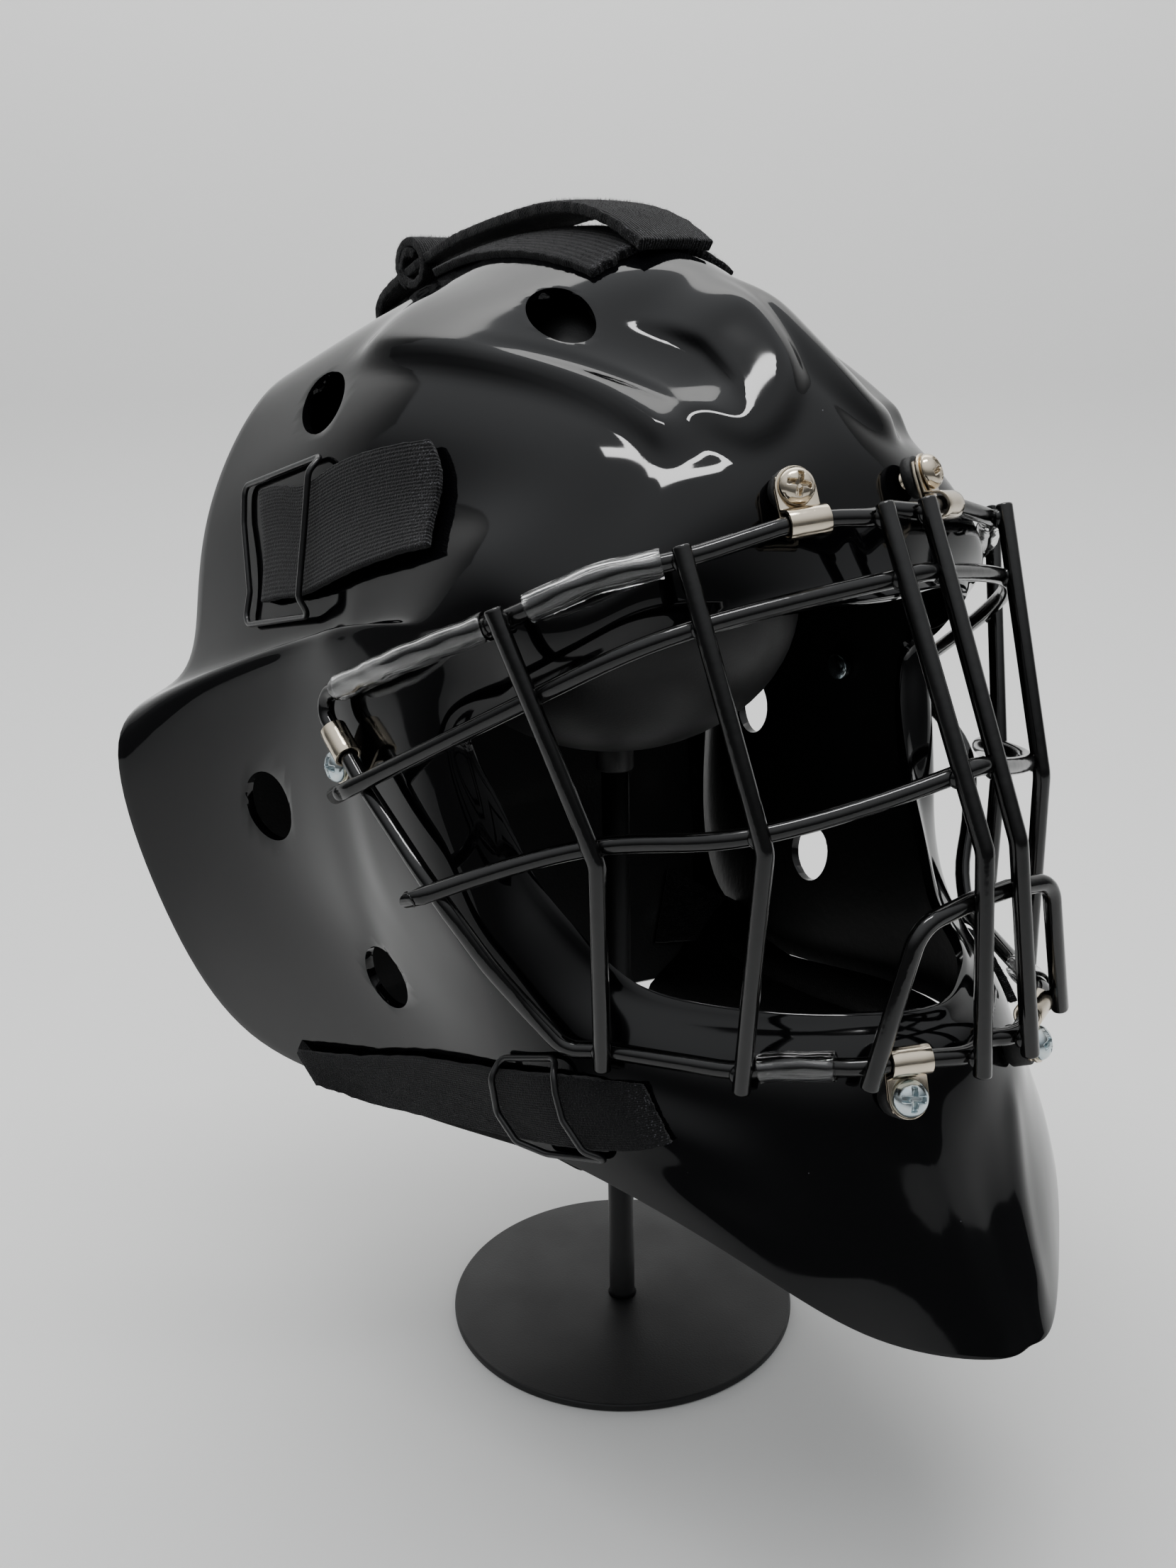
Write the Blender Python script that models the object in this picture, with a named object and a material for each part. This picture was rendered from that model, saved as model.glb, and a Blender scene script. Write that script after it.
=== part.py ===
"""Goalkeeper's mask with a wire cage, on a plain display stand.

Metres, +Z up. The mask faces -Y, the wearer's right is -X, and the stand's disc lies on Z = 0.
Places on the mask are shares, in per cent, of its named half width, depth and height.
"""
import math
from collections import namedtuple

import bmesh
import bpy
import numpy as np
from mathutils import Matrix, Vector

# Main sizes of the shell.
HALF_WIDTH = 0.1265
DEPTH = 0.287
HEIGHT = 0.2765
SHELL_WALL = 0.003

# Where the shell stands: the chin's tip in front of the post, and its height over the floor.
CHIN_Y = -0.175
CHIN_Z = 0.0855

# Clearances between pieces.
GAP = 0.0003
STRAP_LIFT = 0.0009
STRAP_SEAT = 0.0004
PLATE_SLANT = 1.15

# Wires of the cage.
WIRE = 0.00475
WELD_BITE = 0.0011
WIRE_BEND = 0.009
CORNER_BEND = 0.005
RIM_BEND = 0.014
RIM_SWEEP = 0.060
WIRE_PAST = 0.0042

# Clear sleeves on the cage's rim.
SLEEVE_WALL = 0.0010
SLEEVE_GAP = 0.0006

# Clips that hold the cage, their screws and rubber spacers.
CLIP_SHEET = 0.0008
CLIP_GAP = 0.0006
CLIP_WIDTH = 0.0105
CLIP_REACH = 0.0094
SCREW_HEAD = 0.0096
SCREW_HEAD_HIGH = 0.0034
SCREW_SHANK = 0.0046
SCREW_NUT = 0.0090
SPACER_WIDE = 0.0112
NUT_THICK = 0.0030

# Webbing straps and their plastic frames.
STRAP_THICK = 0.0024
FRAME_BAR = 0.0019
SLOT_LONG = 0.0085

# Back plate.
PLATE_WALL = 0.0035
PLATE_DISH = 0.0125

# Display stand.
DISC_RADIUS = 0.0605
DISC_THICK = 0.0027
POST_RADIUS = 0.0045
DOME_RADIUS = 0.0580
DOME_MID_Z = 0.2550
DOME_UNDER = 0.0460
COLLAR_RADIUS = 0.0062
COLLAR_HIGH = 0.0085
DOME_GAP = 0.0013

# How finely the faceted shapes are cut.
SHELL_STEPS_ROUND = 52
SHELL_STEPS_OUT = 13
HOLE_SIDES = 16
ROUND_SIDES = 9
STAND_SIDES = 32
DOME_SIDES = 20
WIRE_LEVEL = 1
BAR_LEVEL = 0
CORNER_STEP = 34

# The right-hand half of the shell as sections round the face opening, from chin to brow.
# Each has seven places from the lip to the outer edge, as shares of width, depth and height.
Section = namedtuple("Section", "name lip roll front low_mid high_mid back rim")
SECTIONS = [
    Section("chin centre", (0, 12.9, 29.6), (0, 9.6, 27.5), (0, 7.9, 22.3), (0, 7, 17.2), (0, 5.3, 11),
            (0, 2.6, 4.8), (0, 0, 0)),
    Section("chin corner", (13.5, 15.6, 29.6), (14.3, 11.9, 27.5), (14.3, 9.6, 23), (13.5, 7.9, 17.9),
            (11.3, 5.6, 11), (9.8, 3, 4.8), (9, 0.7, 0)),
    Section("chin side", (27.1, 20.5, 29.6), (30.1, 16.9, 26.8), (30.8, 14.2, 22.3), (30.8, 12.6, 17.9),
            (30.8, 10.6, 12.7), (30.1, 8.6, 7.6), (29.3, 7, 2.7)),
    Section("jaw front", (40.6, 28.5, 29.9), (46.6, 25.2, 26.1), (48.1, 23.5, 22.7), (49.6, 21.9, 19.6),
            (49.6, 20.2, 16.2), (49.6, 18.5, 13.1), (48.9, 16.9, 10)),
    Section("jaw", (48.1, 33.1, 32.3), (56.4, 33.1, 28.5), (59.4, 32.8, 25.1), (61.7, 33.4, 22),
            (63.2, 34.8, 18.9), (63.2, 35.8, 16.2), (63.2, 36.4, 13.4)),
    Section("jaw rear", (54.1, 37.4, 37.1), (66.2, 39.1, 33.3), (68.4, 41.7, 29.6), (67.7, 46.4, 25.1),
            (66.9, 52.6, 20.3), (67.7, 58.3, 14.8), (69.9, 62.9, 8.9)),
    Section("cheek low", (57.9, 40.7, 41.6), (71.4, 41.7, 38.8), (74.4, 47, 36.1), (73.7, 57, 32.3),
            (73.7, 67.5, 26.8), (78.2, 77.5, 18.6), (82, 85.4, 8.9)),
    Section("cheek", (61.7, 43.7, 48.5), (73.7, 43.7, 48.1), (77.4, 51, 46), (77.4, 62.6, 42.6),
            (79.7, 75.5, 38.8), (88, 86.8, 32), (95.5, 94, 25.1)),
    Section("cheek top", (65.4, 44.7, 54), (72.2, 44.7, 57.7), (74.4, 51, 61.2), (76.7, 60.9, 61.2),
            (78.2, 70.9, 58.4), (85.7, 83.4, 53.3), (100, 96.7, 45.4)),
    Section("ledge", (63.2, 41.1, 56.4), (66.8, 40.3, 61.9), (71.4, 45, 65.6), (72.2, 56, 63.9),
            (73.7, 69.2, 60.5), (76.7, 82.5, 56.4), (82, 97.4, 51.5)),
    Section("temple low", (59.4, 37.7, 58.4), (64.7, 36.1, 64.6), (64.7, 40.4, 71.5),
            (65.4, 52.6, 72.2), (66.9, 67.5, 71.1), (68.4, 81.5, 68), (72.2, 100, 60.5)),
    Section("temple", (52.6, 32.8, 61.9), (56.4, 31.1, 67.4), (49.6, 34.4, 74.9), (49.6, 42.1, 80.4),
            (60.2, 60.9, 81.8), (63.9, 80.1, 79), (66.9, 98, 72.9)),
    Section("temple high", (41.4, 27.8, 64.9), (43.6, 28.1, 71.5), (35.3, 31.8, 79), (32.3, 41.1, 85.2),
            (42.9, 57.6, 90.4), (49.6, 75.8, 89.7), (54.9, 91.7, 85.2)),
    Section("brow", (22.6, 23.5, 66.7), (24.8, 25.8, 73.5), (20.3, 29.5, 80.8), (16.5, 41.1, 89),
            (24.1, 54.3, 95.2), (29.3, 74.8, 95.5), (32.3, 93.4, 89.3)),
    Section("brow centre", (0, 20.5, 67.4), (0, 24.2, 74.2), (0, 28.5, 83.2), (0, 39.1, 93.1),
            (0, 54.3, 99.3), (0, 75.8, 100), (0, 100.7, 94.2)),
]
LAST_STATION = len(SECTIONS) - 1
LAST_PLACE = 6

# Vent holes in one half: station and place on the shell, length, breadth and turn in degrees.
Vent = namedtuple("Vent", "name station place long wide turn")
VENTS = [
    Vent("cheek", 7.10, 4.05, 0.0224, 0.0224, 0),
    Vent("jaw", 5.55, 3.85, 0.0204, 0.0204, 0),
    Vent("temple", 11.40, 4.85, 0.0262, 0.0200, 90),
    Vent("crown", 12.58, 3.72, 0.0270, 0.0200, 90),
]

# Upright wires of one half: where they cross the rim above and below, and their bend between.
Upright = namedtuple("Upright", "name top bend foot")
UPRIGHTS = [
    Upright("inner", (5.7, 19.8, 74.9), (4.9, 6.7, 47.3), (6.9, 6.1, 28.4)),
    Upright("middle", (44.0, 25.6, 72.3), (40.4, 16.6, 48.0), (42.4, 18.8, 26.6)),
    Upright("outer", (69.2, 36.0, 66.9), (59.8, 28.5, 45.4), (57.5, 29.8, 26.4)),
]

# Places of the cage's rim that no upright sets, in order from the top middle to the bottom middle.
RIM_TOP_MIDDLE = (0, 21.9, 75.3)
RIM_BROW = (19.2, 22.4, 75.1)
RIM_TEMPLE = (55.9, 30.0, 71.0)
RIM_LEDGE = (78.6, 46.2, 62.4)
RIM_CORNER = (81.4, 61.4, 55.9)
RIM_SIDE = [(82.2, 52.1, 49.4), (81.6, 40.4, 41.9), (73.7, 37.1, 34.4), (66.9, 35.4, 29.6)]
RIM_LOW_CORNER = (62.1, 32.5, 25.9)
RIM_JAW = (36.8, 16.1, 27.5)
RIM_CHIN = (18.7, 8.6, 28.6)
RIM_CHIN_MIDDLE = (0, 7.7, 28.5)

# Cross wires of one half: height shares behind each upright, and which place of the rim's side they end on.
Cross = namedtuple("Cross", "name inner middle outer side")
CROSSES = [
    Cross("upper", 69.8, 66.7, 60.1, 0),
    Cross("lower", 53.3, 49.1, 46.6, 1),
]
# Arch over the chin: where a leg crosses the rim, its shoulder, and its height behind the inner uprights.
ARCH_FOOT = (27.3, 10.0, 28.5)
ARCH_SHOULDER = (19.2, 7.8, 41.7)
ARCH_TOP = 42.6

# Clips of one half: between which places of the rim, at what share, and the rough station and
# place of the screw.
Clip = namedtuple("Clip", "name start end share station place")
CLIPS = [
    Clip("top", "brow", "middle top", 0.0, 13.30, 1.50),
    Clip("side", "corner", "side 0", 0.54, 7.20, 3.00),
    Clip("bottom", "chin", "inner foot", 0.0, 1.05, 1.75),
]

# Sleeves of one half: the wires or corners they lie between, and the bare wire left at each end.
Sleeve = namedtuple("Sleeve", "name start end bare_start bare_end")
SLEEVES = [
    Sleeve("brow", "middle top", "outer top", 0.0044, 0.0075),
    Sleeve("temple", "outer top", "corner", 0.0044, 0.0100),
    Sleeve("chin", "middle foot", "arch foot", 0.0056, 0.0070),
]

# Back plate: height share, depth share and half width share, from the top down.
Row = namedtuple("Row", "height depth half_width")
PLATE_ROWS = [
    Row(88.6, 92.4, 12), Row(85.6, 92.8, 27), Row(81.0, 93.4, 40), Row(72.2, 94.7, 59),
            Row(61.9, 95.0, 67), Row(51.5, 94.4, 72),
    Row(41.2, 93.7, 76), Row(30.9, 92.1, 76), Row(20.6, 89.4, 73), Row(12.0, 86.1, 67),
            Row(5.2, 83.1, 57), Row(2.1, 81.8, 45),
]

# Side strap of one half: station and place of its corners, front to back.
Band = namedtuple("Band", "station_top place_top station_low place_low lift")
SIDE_STRAP = [
    Band(10.90, 3.62, 9.90, 2.65, 0.0006),
    Band(10.80, 3.85, 9.78, 3.05, 0.0020),
    Band(10.66, 4.15, 9.64, 3.58, 0.0016),
    Band(10.50, 4.50, 9.52, 4.10, 0.0006),
    Band(10.56, 4.80, 9.52, 4.48, 0.0008),
    Band(10.62, 5.12, 9.54, 4.86, 0.0006),
]
# Jaw strap of one half.
JAW_STRAP = [
    Band(3.50, 2.00, 3.10, 3.30, 0.0004),
    Band(3.74, 2.30, 3.36, 3.80, 0.0008),
    Band(4.00, 2.65, 3.66, 4.45, 0.0010),
    Band(4.42, 3.50, 4.05, 5.48, 0.0004),
    Band(4.80, 4.45, 4.45, 6.20, 0.0006),
    Band(5.25, 5.45, 4.95, 6.75, 0.0018),
]
# Top strap along the middle line: depth share and height share of its underside.
TOP_STRAP = [
    (49.8, 99.1), (55.0, 101.8), (64.0, 103.6), (76.0, 102.6), (86.0, 100.8), (95.0, 98.0),
    (99.6, 96.2), (102.2, 94.2), (102.0, 91.6), (99.0, 90.0), (96.5, 88.6),
]
# The same strap's end on the back plate: height shares.
TOP_STRAP_END = (86.4, 83.6)
# Side strap inside the shell: how far out on the back plate it ends.
SIDE_STRAP_END = 0.92
# Jaw strap below the jaw's edge, as shares, and its end on the back plate: share of width and height.
JAW_TURN = ((76, 76, 4.6), (74, 68, 0.4))
JAW_STRAP_END = ((0.84, 16.0), (0.80, 7.0))
TOP_STRAP_WIDE = 0.0260


def paint(name, colour, roughness, metallic=0.0):
    """A plain material with its own colour, roughness and metallic value."""
    material = bpy.data.materials.new(name)
    material.use_nodes = True
    shader = material.node_tree.nodes["Principled BSDF"]
    shader.inputs["Base Color"].default_value = (*colour, 1.0)
    shader.inputs["Roughness"].default_value = roughness
    shader.inputs["Metallic"].default_value = metallic
    return material


def at(shares):
    """The point in metres that three shares name."""
    return Vector((shares[0] / 100 * HALF_WIDTH, CHIN_Y + shares[1] / 100 * DEPTH,
            CHIN_Z + shares[2] / 100 * HEIGHT))


def knot_weights(count, places, closed):
    """Weights of the knots for points on a smooth cubic through evenly spaced knots."""
    second = np.zeros((count, count))
    system = np.eye(count)
    for knot in range(count):
        if not closed and knot in (0, count - 1):
            continue
        before, after = (knot - 1) % count, (knot + 1) % count
        system[knot] = 0
        system[knot, knot] = 4
        system[knot, before] = system[knot, after] = 1
        second[knot, before] = second[knot, after] = 6
        second[knot, knot] = -12
    bend = np.linalg.solve(system, second)
    weights = np.zeros((len(places), count))
    for row, place in enumerate(places):
        knot = math.floor(place) if closed else min(max(math.floor(place), 0), count - 2)
        part = place - knot
        first, following = knot % count, (knot + 1) % count
        weights[row, first] += 1 - part
        weights[row, following] += part
        weights[row] += ((1 - part) ** 3 - (1 - part)) / 6 * bend[first]
        weights[row] += (part ** 3 - part) / 6 * bend[following]
    return weights


KNOTS = np.array([[at(shares) for shares in section[1:]] for section in SECTIONS])
LOOP = np.concatenate([KNOTS, (KNOTS * (-1, 1, 1))[-2:0:-1]])


def skin(stations, places):
    """Points of the shell's outer skin: stations run round the face opening, places run outwards."""
    across = knot_weights(len(LOOP), stations, True)
    inside = np.clip(places, 0, LAST_PLACE)
    along = knot_weights(LAST_PLACE + 1, inside, False)
    step = 0.01
    edge = knot_weights(LAST_PLACE + 1, [LAST_PLACE - step, LAST_PLACE], False)
    beyond = np.maximum(np.array(places) - LAST_PLACE, 0)[:, None] * (edge[1] - edge[0]) / step
    return np.einsum("ui,vj,ijk->uvk", across, along + beyond, LOOP)


def seat(station, place):
    """A point on the outer skin, its outward normal, and the direction in which stations run."""
    step = 0.02
    patch = skin([station - step, station, station + step], [place - step, place, place + step])
    point = Vector(patch[1, 1])
    around = Vector(patch[2, 1] - patch[0, 1]).normalized()
    outwards = Vector(patch[1, 2] - patch[1, 0])
    normal = outwards.cross(around).normalized()
    return point, normal, around


def seat_under(target, station, place):
    """The seat nearest to a point, looked for round a rough station and place."""
    for spread in (0.8, 0.1, 0.012):
        near_stations = station + np.linspace(-spread, spread, 17)
        near_places = np.clip(place + np.linspace(-spread, spread, 17), 0, LAST_PLACE)
        patch = skin(near_stations, near_places)
        distance = np.linalg.norm(patch - np.array(target), axis=2)
        row, column = np.unravel_index(distance.argmin(), distance.shape)
        station, place = near_stations[row], near_places[column]
    return seat(station, place)


def add_object(name, bm, material):
    """A named object from a bmesh."""
    mesh = bpy.data.meshes.new(name)
    bm.to_mesh(mesh)
    bm.free()
    mesh.materials.append(material)
    piece = bpy.data.objects.new(name, mesh)
    bpy.context.scene.collection.objects.link(piece)
    return piece


def remove(piece):
    bpy.data.objects.remove(piece, do_unlink=True)


def bake(piece):
    """Apply all modifiers, or turn a curve into a mesh, under the same name."""
    name = piece.name
    materials = [slot.material for slot in piece.material_slots]
    bpy.context.view_layer.update()
    graph = bpy.context.evaluated_depsgraph_get()
    mesh = bpy.data.meshes.new_from_object(piece.evaluated_get(graph))
    mesh.transform(piece.matrix_world)
    remove(piece)
    mesh.materials.clear()
    for material in materials:
        mesh.materials.append(material)
    baked = bpy.data.objects.new(name, mesh)
    bpy.context.scene.collection.objects.link(baked)
    return baked


def combine(piece, others, operation):
    """Join or cut a piece with others, one exact Boolean each, and remove them."""
    for other in others:
        boolean = piece.modifiers.new(operation.title(), "BOOLEAN")
        boolean.operation = operation
        boolean.object = other
    piece = bake(piece)
    for other in others:
        remove(other)
    return piece


def sheet(name, points, material, closed=False):
    """A grid of quads through a table of points: rows are stations, columns are places."""
    rows, columns = len(points), len(points[0])
    bm = bmesh.new()
    last_row = rows if closed else rows - 1
    bmesh.ops.create_grid(bm, x_segments=columns - 1, y_segments=last_row, size=1)
    for vert in bm.verts:
        column = round((vert.co.x + 1) / 2 * (columns - 1))
        row = round((vert.co.y + 1) / 2 * last_row)
        vert.co = points[row % rows][column]
    bmesh.ops.remove_doubles(bm, verts=bm.verts, dist=1e-6)
    return add_object(name, bm, material)


def thicken(piece, wall, offset):
    solid = piece.modifiers.new("Wall", "SOLIDIFY")
    solid.thickness = wall
    solid.offset = offset
    solid.use_even_offset = True
    return piece


def tube(name, points, radius, material, closed=False, caps=True, level=WIRE_LEVEL):
    """A round rod along a run of points, with flat ends or open ones."""
    curve = bpy.data.curves.new(name, "CURVE")
    curve.dimensions = "3D"
    curve.bevel_depth = radius
    curve.bevel_resolution = level
    curve.use_fill_caps = caps
    curve.twist_mode = "MINIMUM"
    run = curve.splines.new("POLY")
    run.points.add(len(points) - 1)
    for spot, point in zip(run.points, points):
        spot.co = (*point, 1.0)
    run.use_cyclic_u = closed
    curve.materials.append(material)
    rod = bpy.data.objects.new(name, curve)
    bpy.context.scene.collection.objects.link(rod)
    return bake(rod)


def smooth_run(points, count, closed=False):
    """Evenly cut smooth run through the given points."""
    knots = np.array([tuple(point) for point in points])
    span = len(knots) if closed else len(knots) - 1
    fine = np.linspace(0, span, 40 * span + 1)
    curve = knot_weights(len(knots), fine, closed) @ knots
    lengths = np.concatenate([[0], np.cumsum(np.linalg.norm(np.diff(curve, axis=0), axis=1))])
    wanted = np.linspace(0, lengths[-1], count + 1)[:-1] if closed else np.linspace(0, lengths[-1], count)
    return [Vector([np.interp(length, lengths, curve[:, axis]) for axis in range(3)]) for length in wanted]


def rounded_run(points, radii, closed=False):
    """Straight runs whose corners are rounded, each with its own bend radius."""
    count = len(points)
    run = [] if closed else [points[0]]
    for corner in range(count) if closed else range(1, count - 1):
        place = points[corner]
        back = points[corner - 1] - place
        ahead = points[(corner + 1) % count] - place
        half = back.angle(ahead) / 2
        if math.pi / 2 - half < 0.01:
            run.append(place)
            continue
        reach = min(radii[corner] / math.tan(half), 0.45 * back.length, 0.45 * ahead.length)
        radius = reach * math.tan(half)
        centre = place + (back.normalized() + ahead.normalized()).normalized() * radius / math.sin(half)
        start = (place + back.normalized() * reach - centre).normalized()
        end = (place + ahead.normalized() * reach - centre).normalized()
        steps = max(1, math.ceil(math.degrees(math.pi - 2 * half) / CORNER_STEP))
        for step in range(steps + 1):
            run.append(centre + start.slerp(end, step / steps) * radius)
    if not closed:
        run.append(points[-1])
    return run


def mirrored(point):
    return Vector((-point.x, point.y, point.z))


def facing(point):
    """The level direction from the head's middle out through a point of the cage."""
    return Vector((point.x, point.y - at((0, 71, 0)).y, 0)).normalized()


def behind(point):
    """The centre of a wire that is welded behind the wire through this point."""
    return point - facing(point) * (WIRE - WELD_BITE)


def ahead_of(point):
    """The centre of a wire that is welded in front of the wire through this point."""
    return point + facing(point) * (WIRE - WELD_BITE)


def along(upright, share):
    """The point of an upright at one height share."""
    ends = [ahead_of(at(upright.top)), at(upright.bend), ahead_of(at(upright.foot))]
    height = at((0, 0, share)).z
    for upper, lower in zip(ends, ends[1:]):
        if height >= lower.z:
            break
    return upper.lerp(lower, (upper.z - height) / (upper.z - lower.z))


def spun(name, profile, sides, material):
    """A solid of revolution about Z from radius and height pairs; its ends lie on the axis."""
    bm = bmesh.new()
    verts = [bm.verts.new((radius, 0, height)) for radius, height in profile]
    edges = [bm.edges.new(pair) for pair in zip(verts, verts[1:])]
    bmesh.ops.spin(bm, geom=verts + edges, cent=(0, 0, 0), axis=(0, 0, 1), angle=math.tau, steps=sides,
            use_duplicate=False)
    bmesh.ops.remove_doubles(bm, verts=bm.verts, dist=1e-6)
    bmesh.ops.recalc_face_normals(bm, faces=bm.faces)
    return add_object(name, bm, material)


def axes(origin, x_axis, z_axis):
    """A frame at origin whose Z is z_axis and whose X is as near x_axis as it can be."""
    z_axis = z_axis.normalized()
    y_axis = z_axis.cross(x_axis).normalized()
    x_axis = y_axis.cross(z_axis)
    frame = Matrix((x_axis, y_axis, z_axis)).transposed().to_4x4()
    frame.translation = origin
    return frame


def rod_cutter(frame, long, wide, depth, sides):
    """An oval plug for cutting a hole through the shell along the frame's Z."""
    bm = bmesh.new()
    bmesh.ops.create_cone(bm, cap_ends=True, segments=sides, radius1=0.5, radius2=0.5, depth=1,
            matrix=Matrix.Diagonal((long, wide, 2 * depth, 1)))
    bmesh.ops.transform(bm, matrix=frame, verts=bm.verts)
    return add_object("cutter", bm, rubber)


def box_cutter(frame, size):
    bm = bmesh.new()
    bmesh.ops.create_cube(bm, size=1, matrix=frame @ Matrix.Diagonal((*size, 1)))
    return add_object("cutter", bm, rubber)


for stale in list(bpy.data.objects):
    bpy.data.objects.remove(stale, do_unlink=True)

gloss_black = paint("gloss black composite", (0.012, 0.012, 0.013), 0.12)
enamel = paint("black enamelled steel", (0.015, 0.015, 0.016), 0.25)
nickel = paint("nickel plated steel", (0.72, 0.66, 0.58), 0.25, 1.0)
zinc = paint("zinc plated steel", (0.70, 0.74, 0.78), 0.22, 1.0)
clear = paint("clear vinyl", (0.80, 0.80, 0.80), 0.10)
rubber = paint("black rubber", (0.010, 0.010, 0.010), 0.60)
webbing = paint("black webbing", (0.014, 0.014, 0.015), 0.90)
frame_plastic = paint("black moulded plastic", (0.020, 0.020, 0.020), 0.40)
plate_plastic = paint("black plate plastic", (0.012, 0.012, 0.012), 0.35)
stand_black = paint("satin black metal", (0.018, 0.018, 0.018), 0.45)

# The shell: a sheet round the face opening, thickened inwards.
stations = np.linspace(0, len(LOOP), SHELL_STEPS_ROUND + 1)[:-1]
places = np.linspace(0, LAST_PLACE, SHELL_STEPS_OUT + 1)
shell = thicken(sheet("shell", skin(stations, places), gloss_black, closed=True), SHELL_WALL, -1)
cutters = []
for vent in VENTS:
    for side in (1, -1):
        point, normal, around = seat(vent.station if side == 1 else -vent.station, vent.place)
        across = (around if side == 1 else -around)
        frame = axes(point, across, normal) @ Matrix.Rotation(math.radians(vent.turn) * side, 4, "Z")
        cutters.append(rod_cutter(frame, vent.long, vent.wide, 0.012, HOLE_SIDES))

# The cage's rim, from the top middle down one side to the bottom middle.
inner, middle, outer = UPRIGHTS
rim_places = {
    "middle of the top": at(RIM_TOP_MIDDLE),
    "inner top": at(inner.top),
    "brow": at(RIM_BROW),
    "middle top": at(middle.top),
    "temple": at(RIM_TEMPLE),
    "outer top": at(outer.top),
    "ledge": at(RIM_LEDGE),
    "corner": at(RIM_CORNER),
    "side 0": at(RIM_SIDE[0]),
    "side 1": at(RIM_SIDE[1]),
    "side 2": at(RIM_SIDE[2]),
    "side 3": at(RIM_SIDE[3]),
    "low corner": at(RIM_LOW_CORNER),
    "outer foot": at(outer.foot),
    "middle foot": at(middle.foot),
    "jaw": at(RIM_JAW),
    "arch foot": at(ARCH_FOOT),
    "chin": at(RIM_CHIN),
    "inner foot": at(inner.foot),
    "middle of the chin": at(RIM_CHIN_MIDDLE),
}
rim_half = list(rim_places.values())
rim_radii = [RIM_SWEEP] * len(rim_half)
rim_radii[list(rim_places).index("corner")] = CORNER_BEND
rim_radii[list(rim_places).index("side 0")] = RIM_BEND
rim_radii[list(rim_places).index("low corner")] = RIM_BEND
rim_whole = rim_half + [mirrored(point) for point in rim_half[-2:0:-1]]
rim_run = rounded_run(rim_whole, rim_radii + rim_radii[-2:0:-1], closed=True)
cage = tube("cage", rim_run, WIRE / 2, enamel, closed=True)

wires = []
for side in (1, -1):
    for upright in UPRIGHTS:
        top, bend, foot = ahead_of(at(upright.top)), at(upright.bend), ahead_of(at(upright.foot))
        top += (top - bend).normalized() * WIRE_PAST
        foot += (foot - bend).normalized() * WIRE_PAST
        run = rounded_run([top, bend, foot], [WIRE_BEND] * 3)
        wires.append([Vector((side * point.x, point.y, point.z)) for point in run])
for cross in CROSSES:
    half = [behind(along(upright, height)) for upright, height in zip(UPRIGHTS, cross[1:4])]
    end = ahead_of(at(RIM_SIDE[cross.side]))
    half.append(end)
    half.append(end + (end - half[-2]).normalized() * WIRE_PAST)
    wires.append(smooth_run([mirrored(point) for point in half[::-1]] + half, 24))
leg = ahead_of(at(ARCH_FOOT))
leg_end = leg + (leg - at(ARCH_SHOULDER)).normalized() * WIRE_PAST
arch_half = [behind(along(inner, ARCH_TOP)), at(ARCH_SHOULDER), leg_end]
arch = [mirrored(point) for point in arch_half[::-1]] + arch_half
wires.append(rounded_run(arch, [WIRE_BEND] * len(arch)))
rods = [tube("wire", run, WIRE / 2, enamel) for run in wires]
cage = combine(cage, rods, "UNION")
cage.name = "cage"


def nearest_on_rim(point):
    """The rim's point nearest to a point, and the rim's direction there."""
    best = None
    for start, end in zip(rim_run, rim_run[1:] + rim_run[:1]):
        share = min(max((point - start).dot(end - start) / (end - start).length_squared, 0), 1)
        spot = start.lerp(end, share)
        if best is None or (spot - point).length < (best[0] - point).length:
            best = (spot, (end - start).normalized())
    return best


def copy_to_right(piece, name):
    """The same piece mirrored to the other side of the mask, under its own name."""
    bm = bmesh.new()
    bm.from_mesh(piece.data)
    bmesh.ops.transform(bm, matrix=Matrix.Diagonal((-1, 1, 1, 1)), verts=bm.verts)
    bmesh.ops.reverse_faces(bm, faces=bm.faces)
    return add_object(name, bm, piece.data.materials[0])


def rim_length(point, steps):
    """How far along the rim's run a point of it lies."""
    for start, end, before in zip(rim_run, rim_run[1:], steps):
        if abs((point - start).length + (end - point).length - (end - start).length) < 1e-7:
            return before + (point - start).length
    return 0.0


# Sleeves: clear tubes slipped over the rim.
for sleeve in SLEEVES:
    start, _ = nearest_on_rim(rim_places[sleeve.start])
    end, _ = nearest_on_rim(rim_places[sleeve.end])
    steps = np.concatenate([[0], np.cumsum([(b - a).length for a, b in zip(rim_run, rim_run[1:])])])
    along_rim = [rim_length(point, steps) for point in (start, end)]
    from_length, to_length = along_rim[0] + sleeve.bare_start, along_rim[1] - sleeve.bare_end
    between = [step for step in steps if from_length + 0.001 < step < to_length - 0.001]
    wanted = [from_length] + between + [to_length]
    run = [Vector([np.interp(length, steps,
            [point[axis] for point in rim_run]) for axis in range(3)]) for length in wanted]
    hose = tube("left_" + sleeve.name + "_sleeve", run, WIRE / 2 + SLEEVE_GAP + SLEEVE_WALL, clear,
            caps=False)
    hose = bake(thicken(hose, SLEEVE_WALL, -1))
    copy_to_right(hose, "right_" + sleeve.name + "_sleeve")

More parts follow.
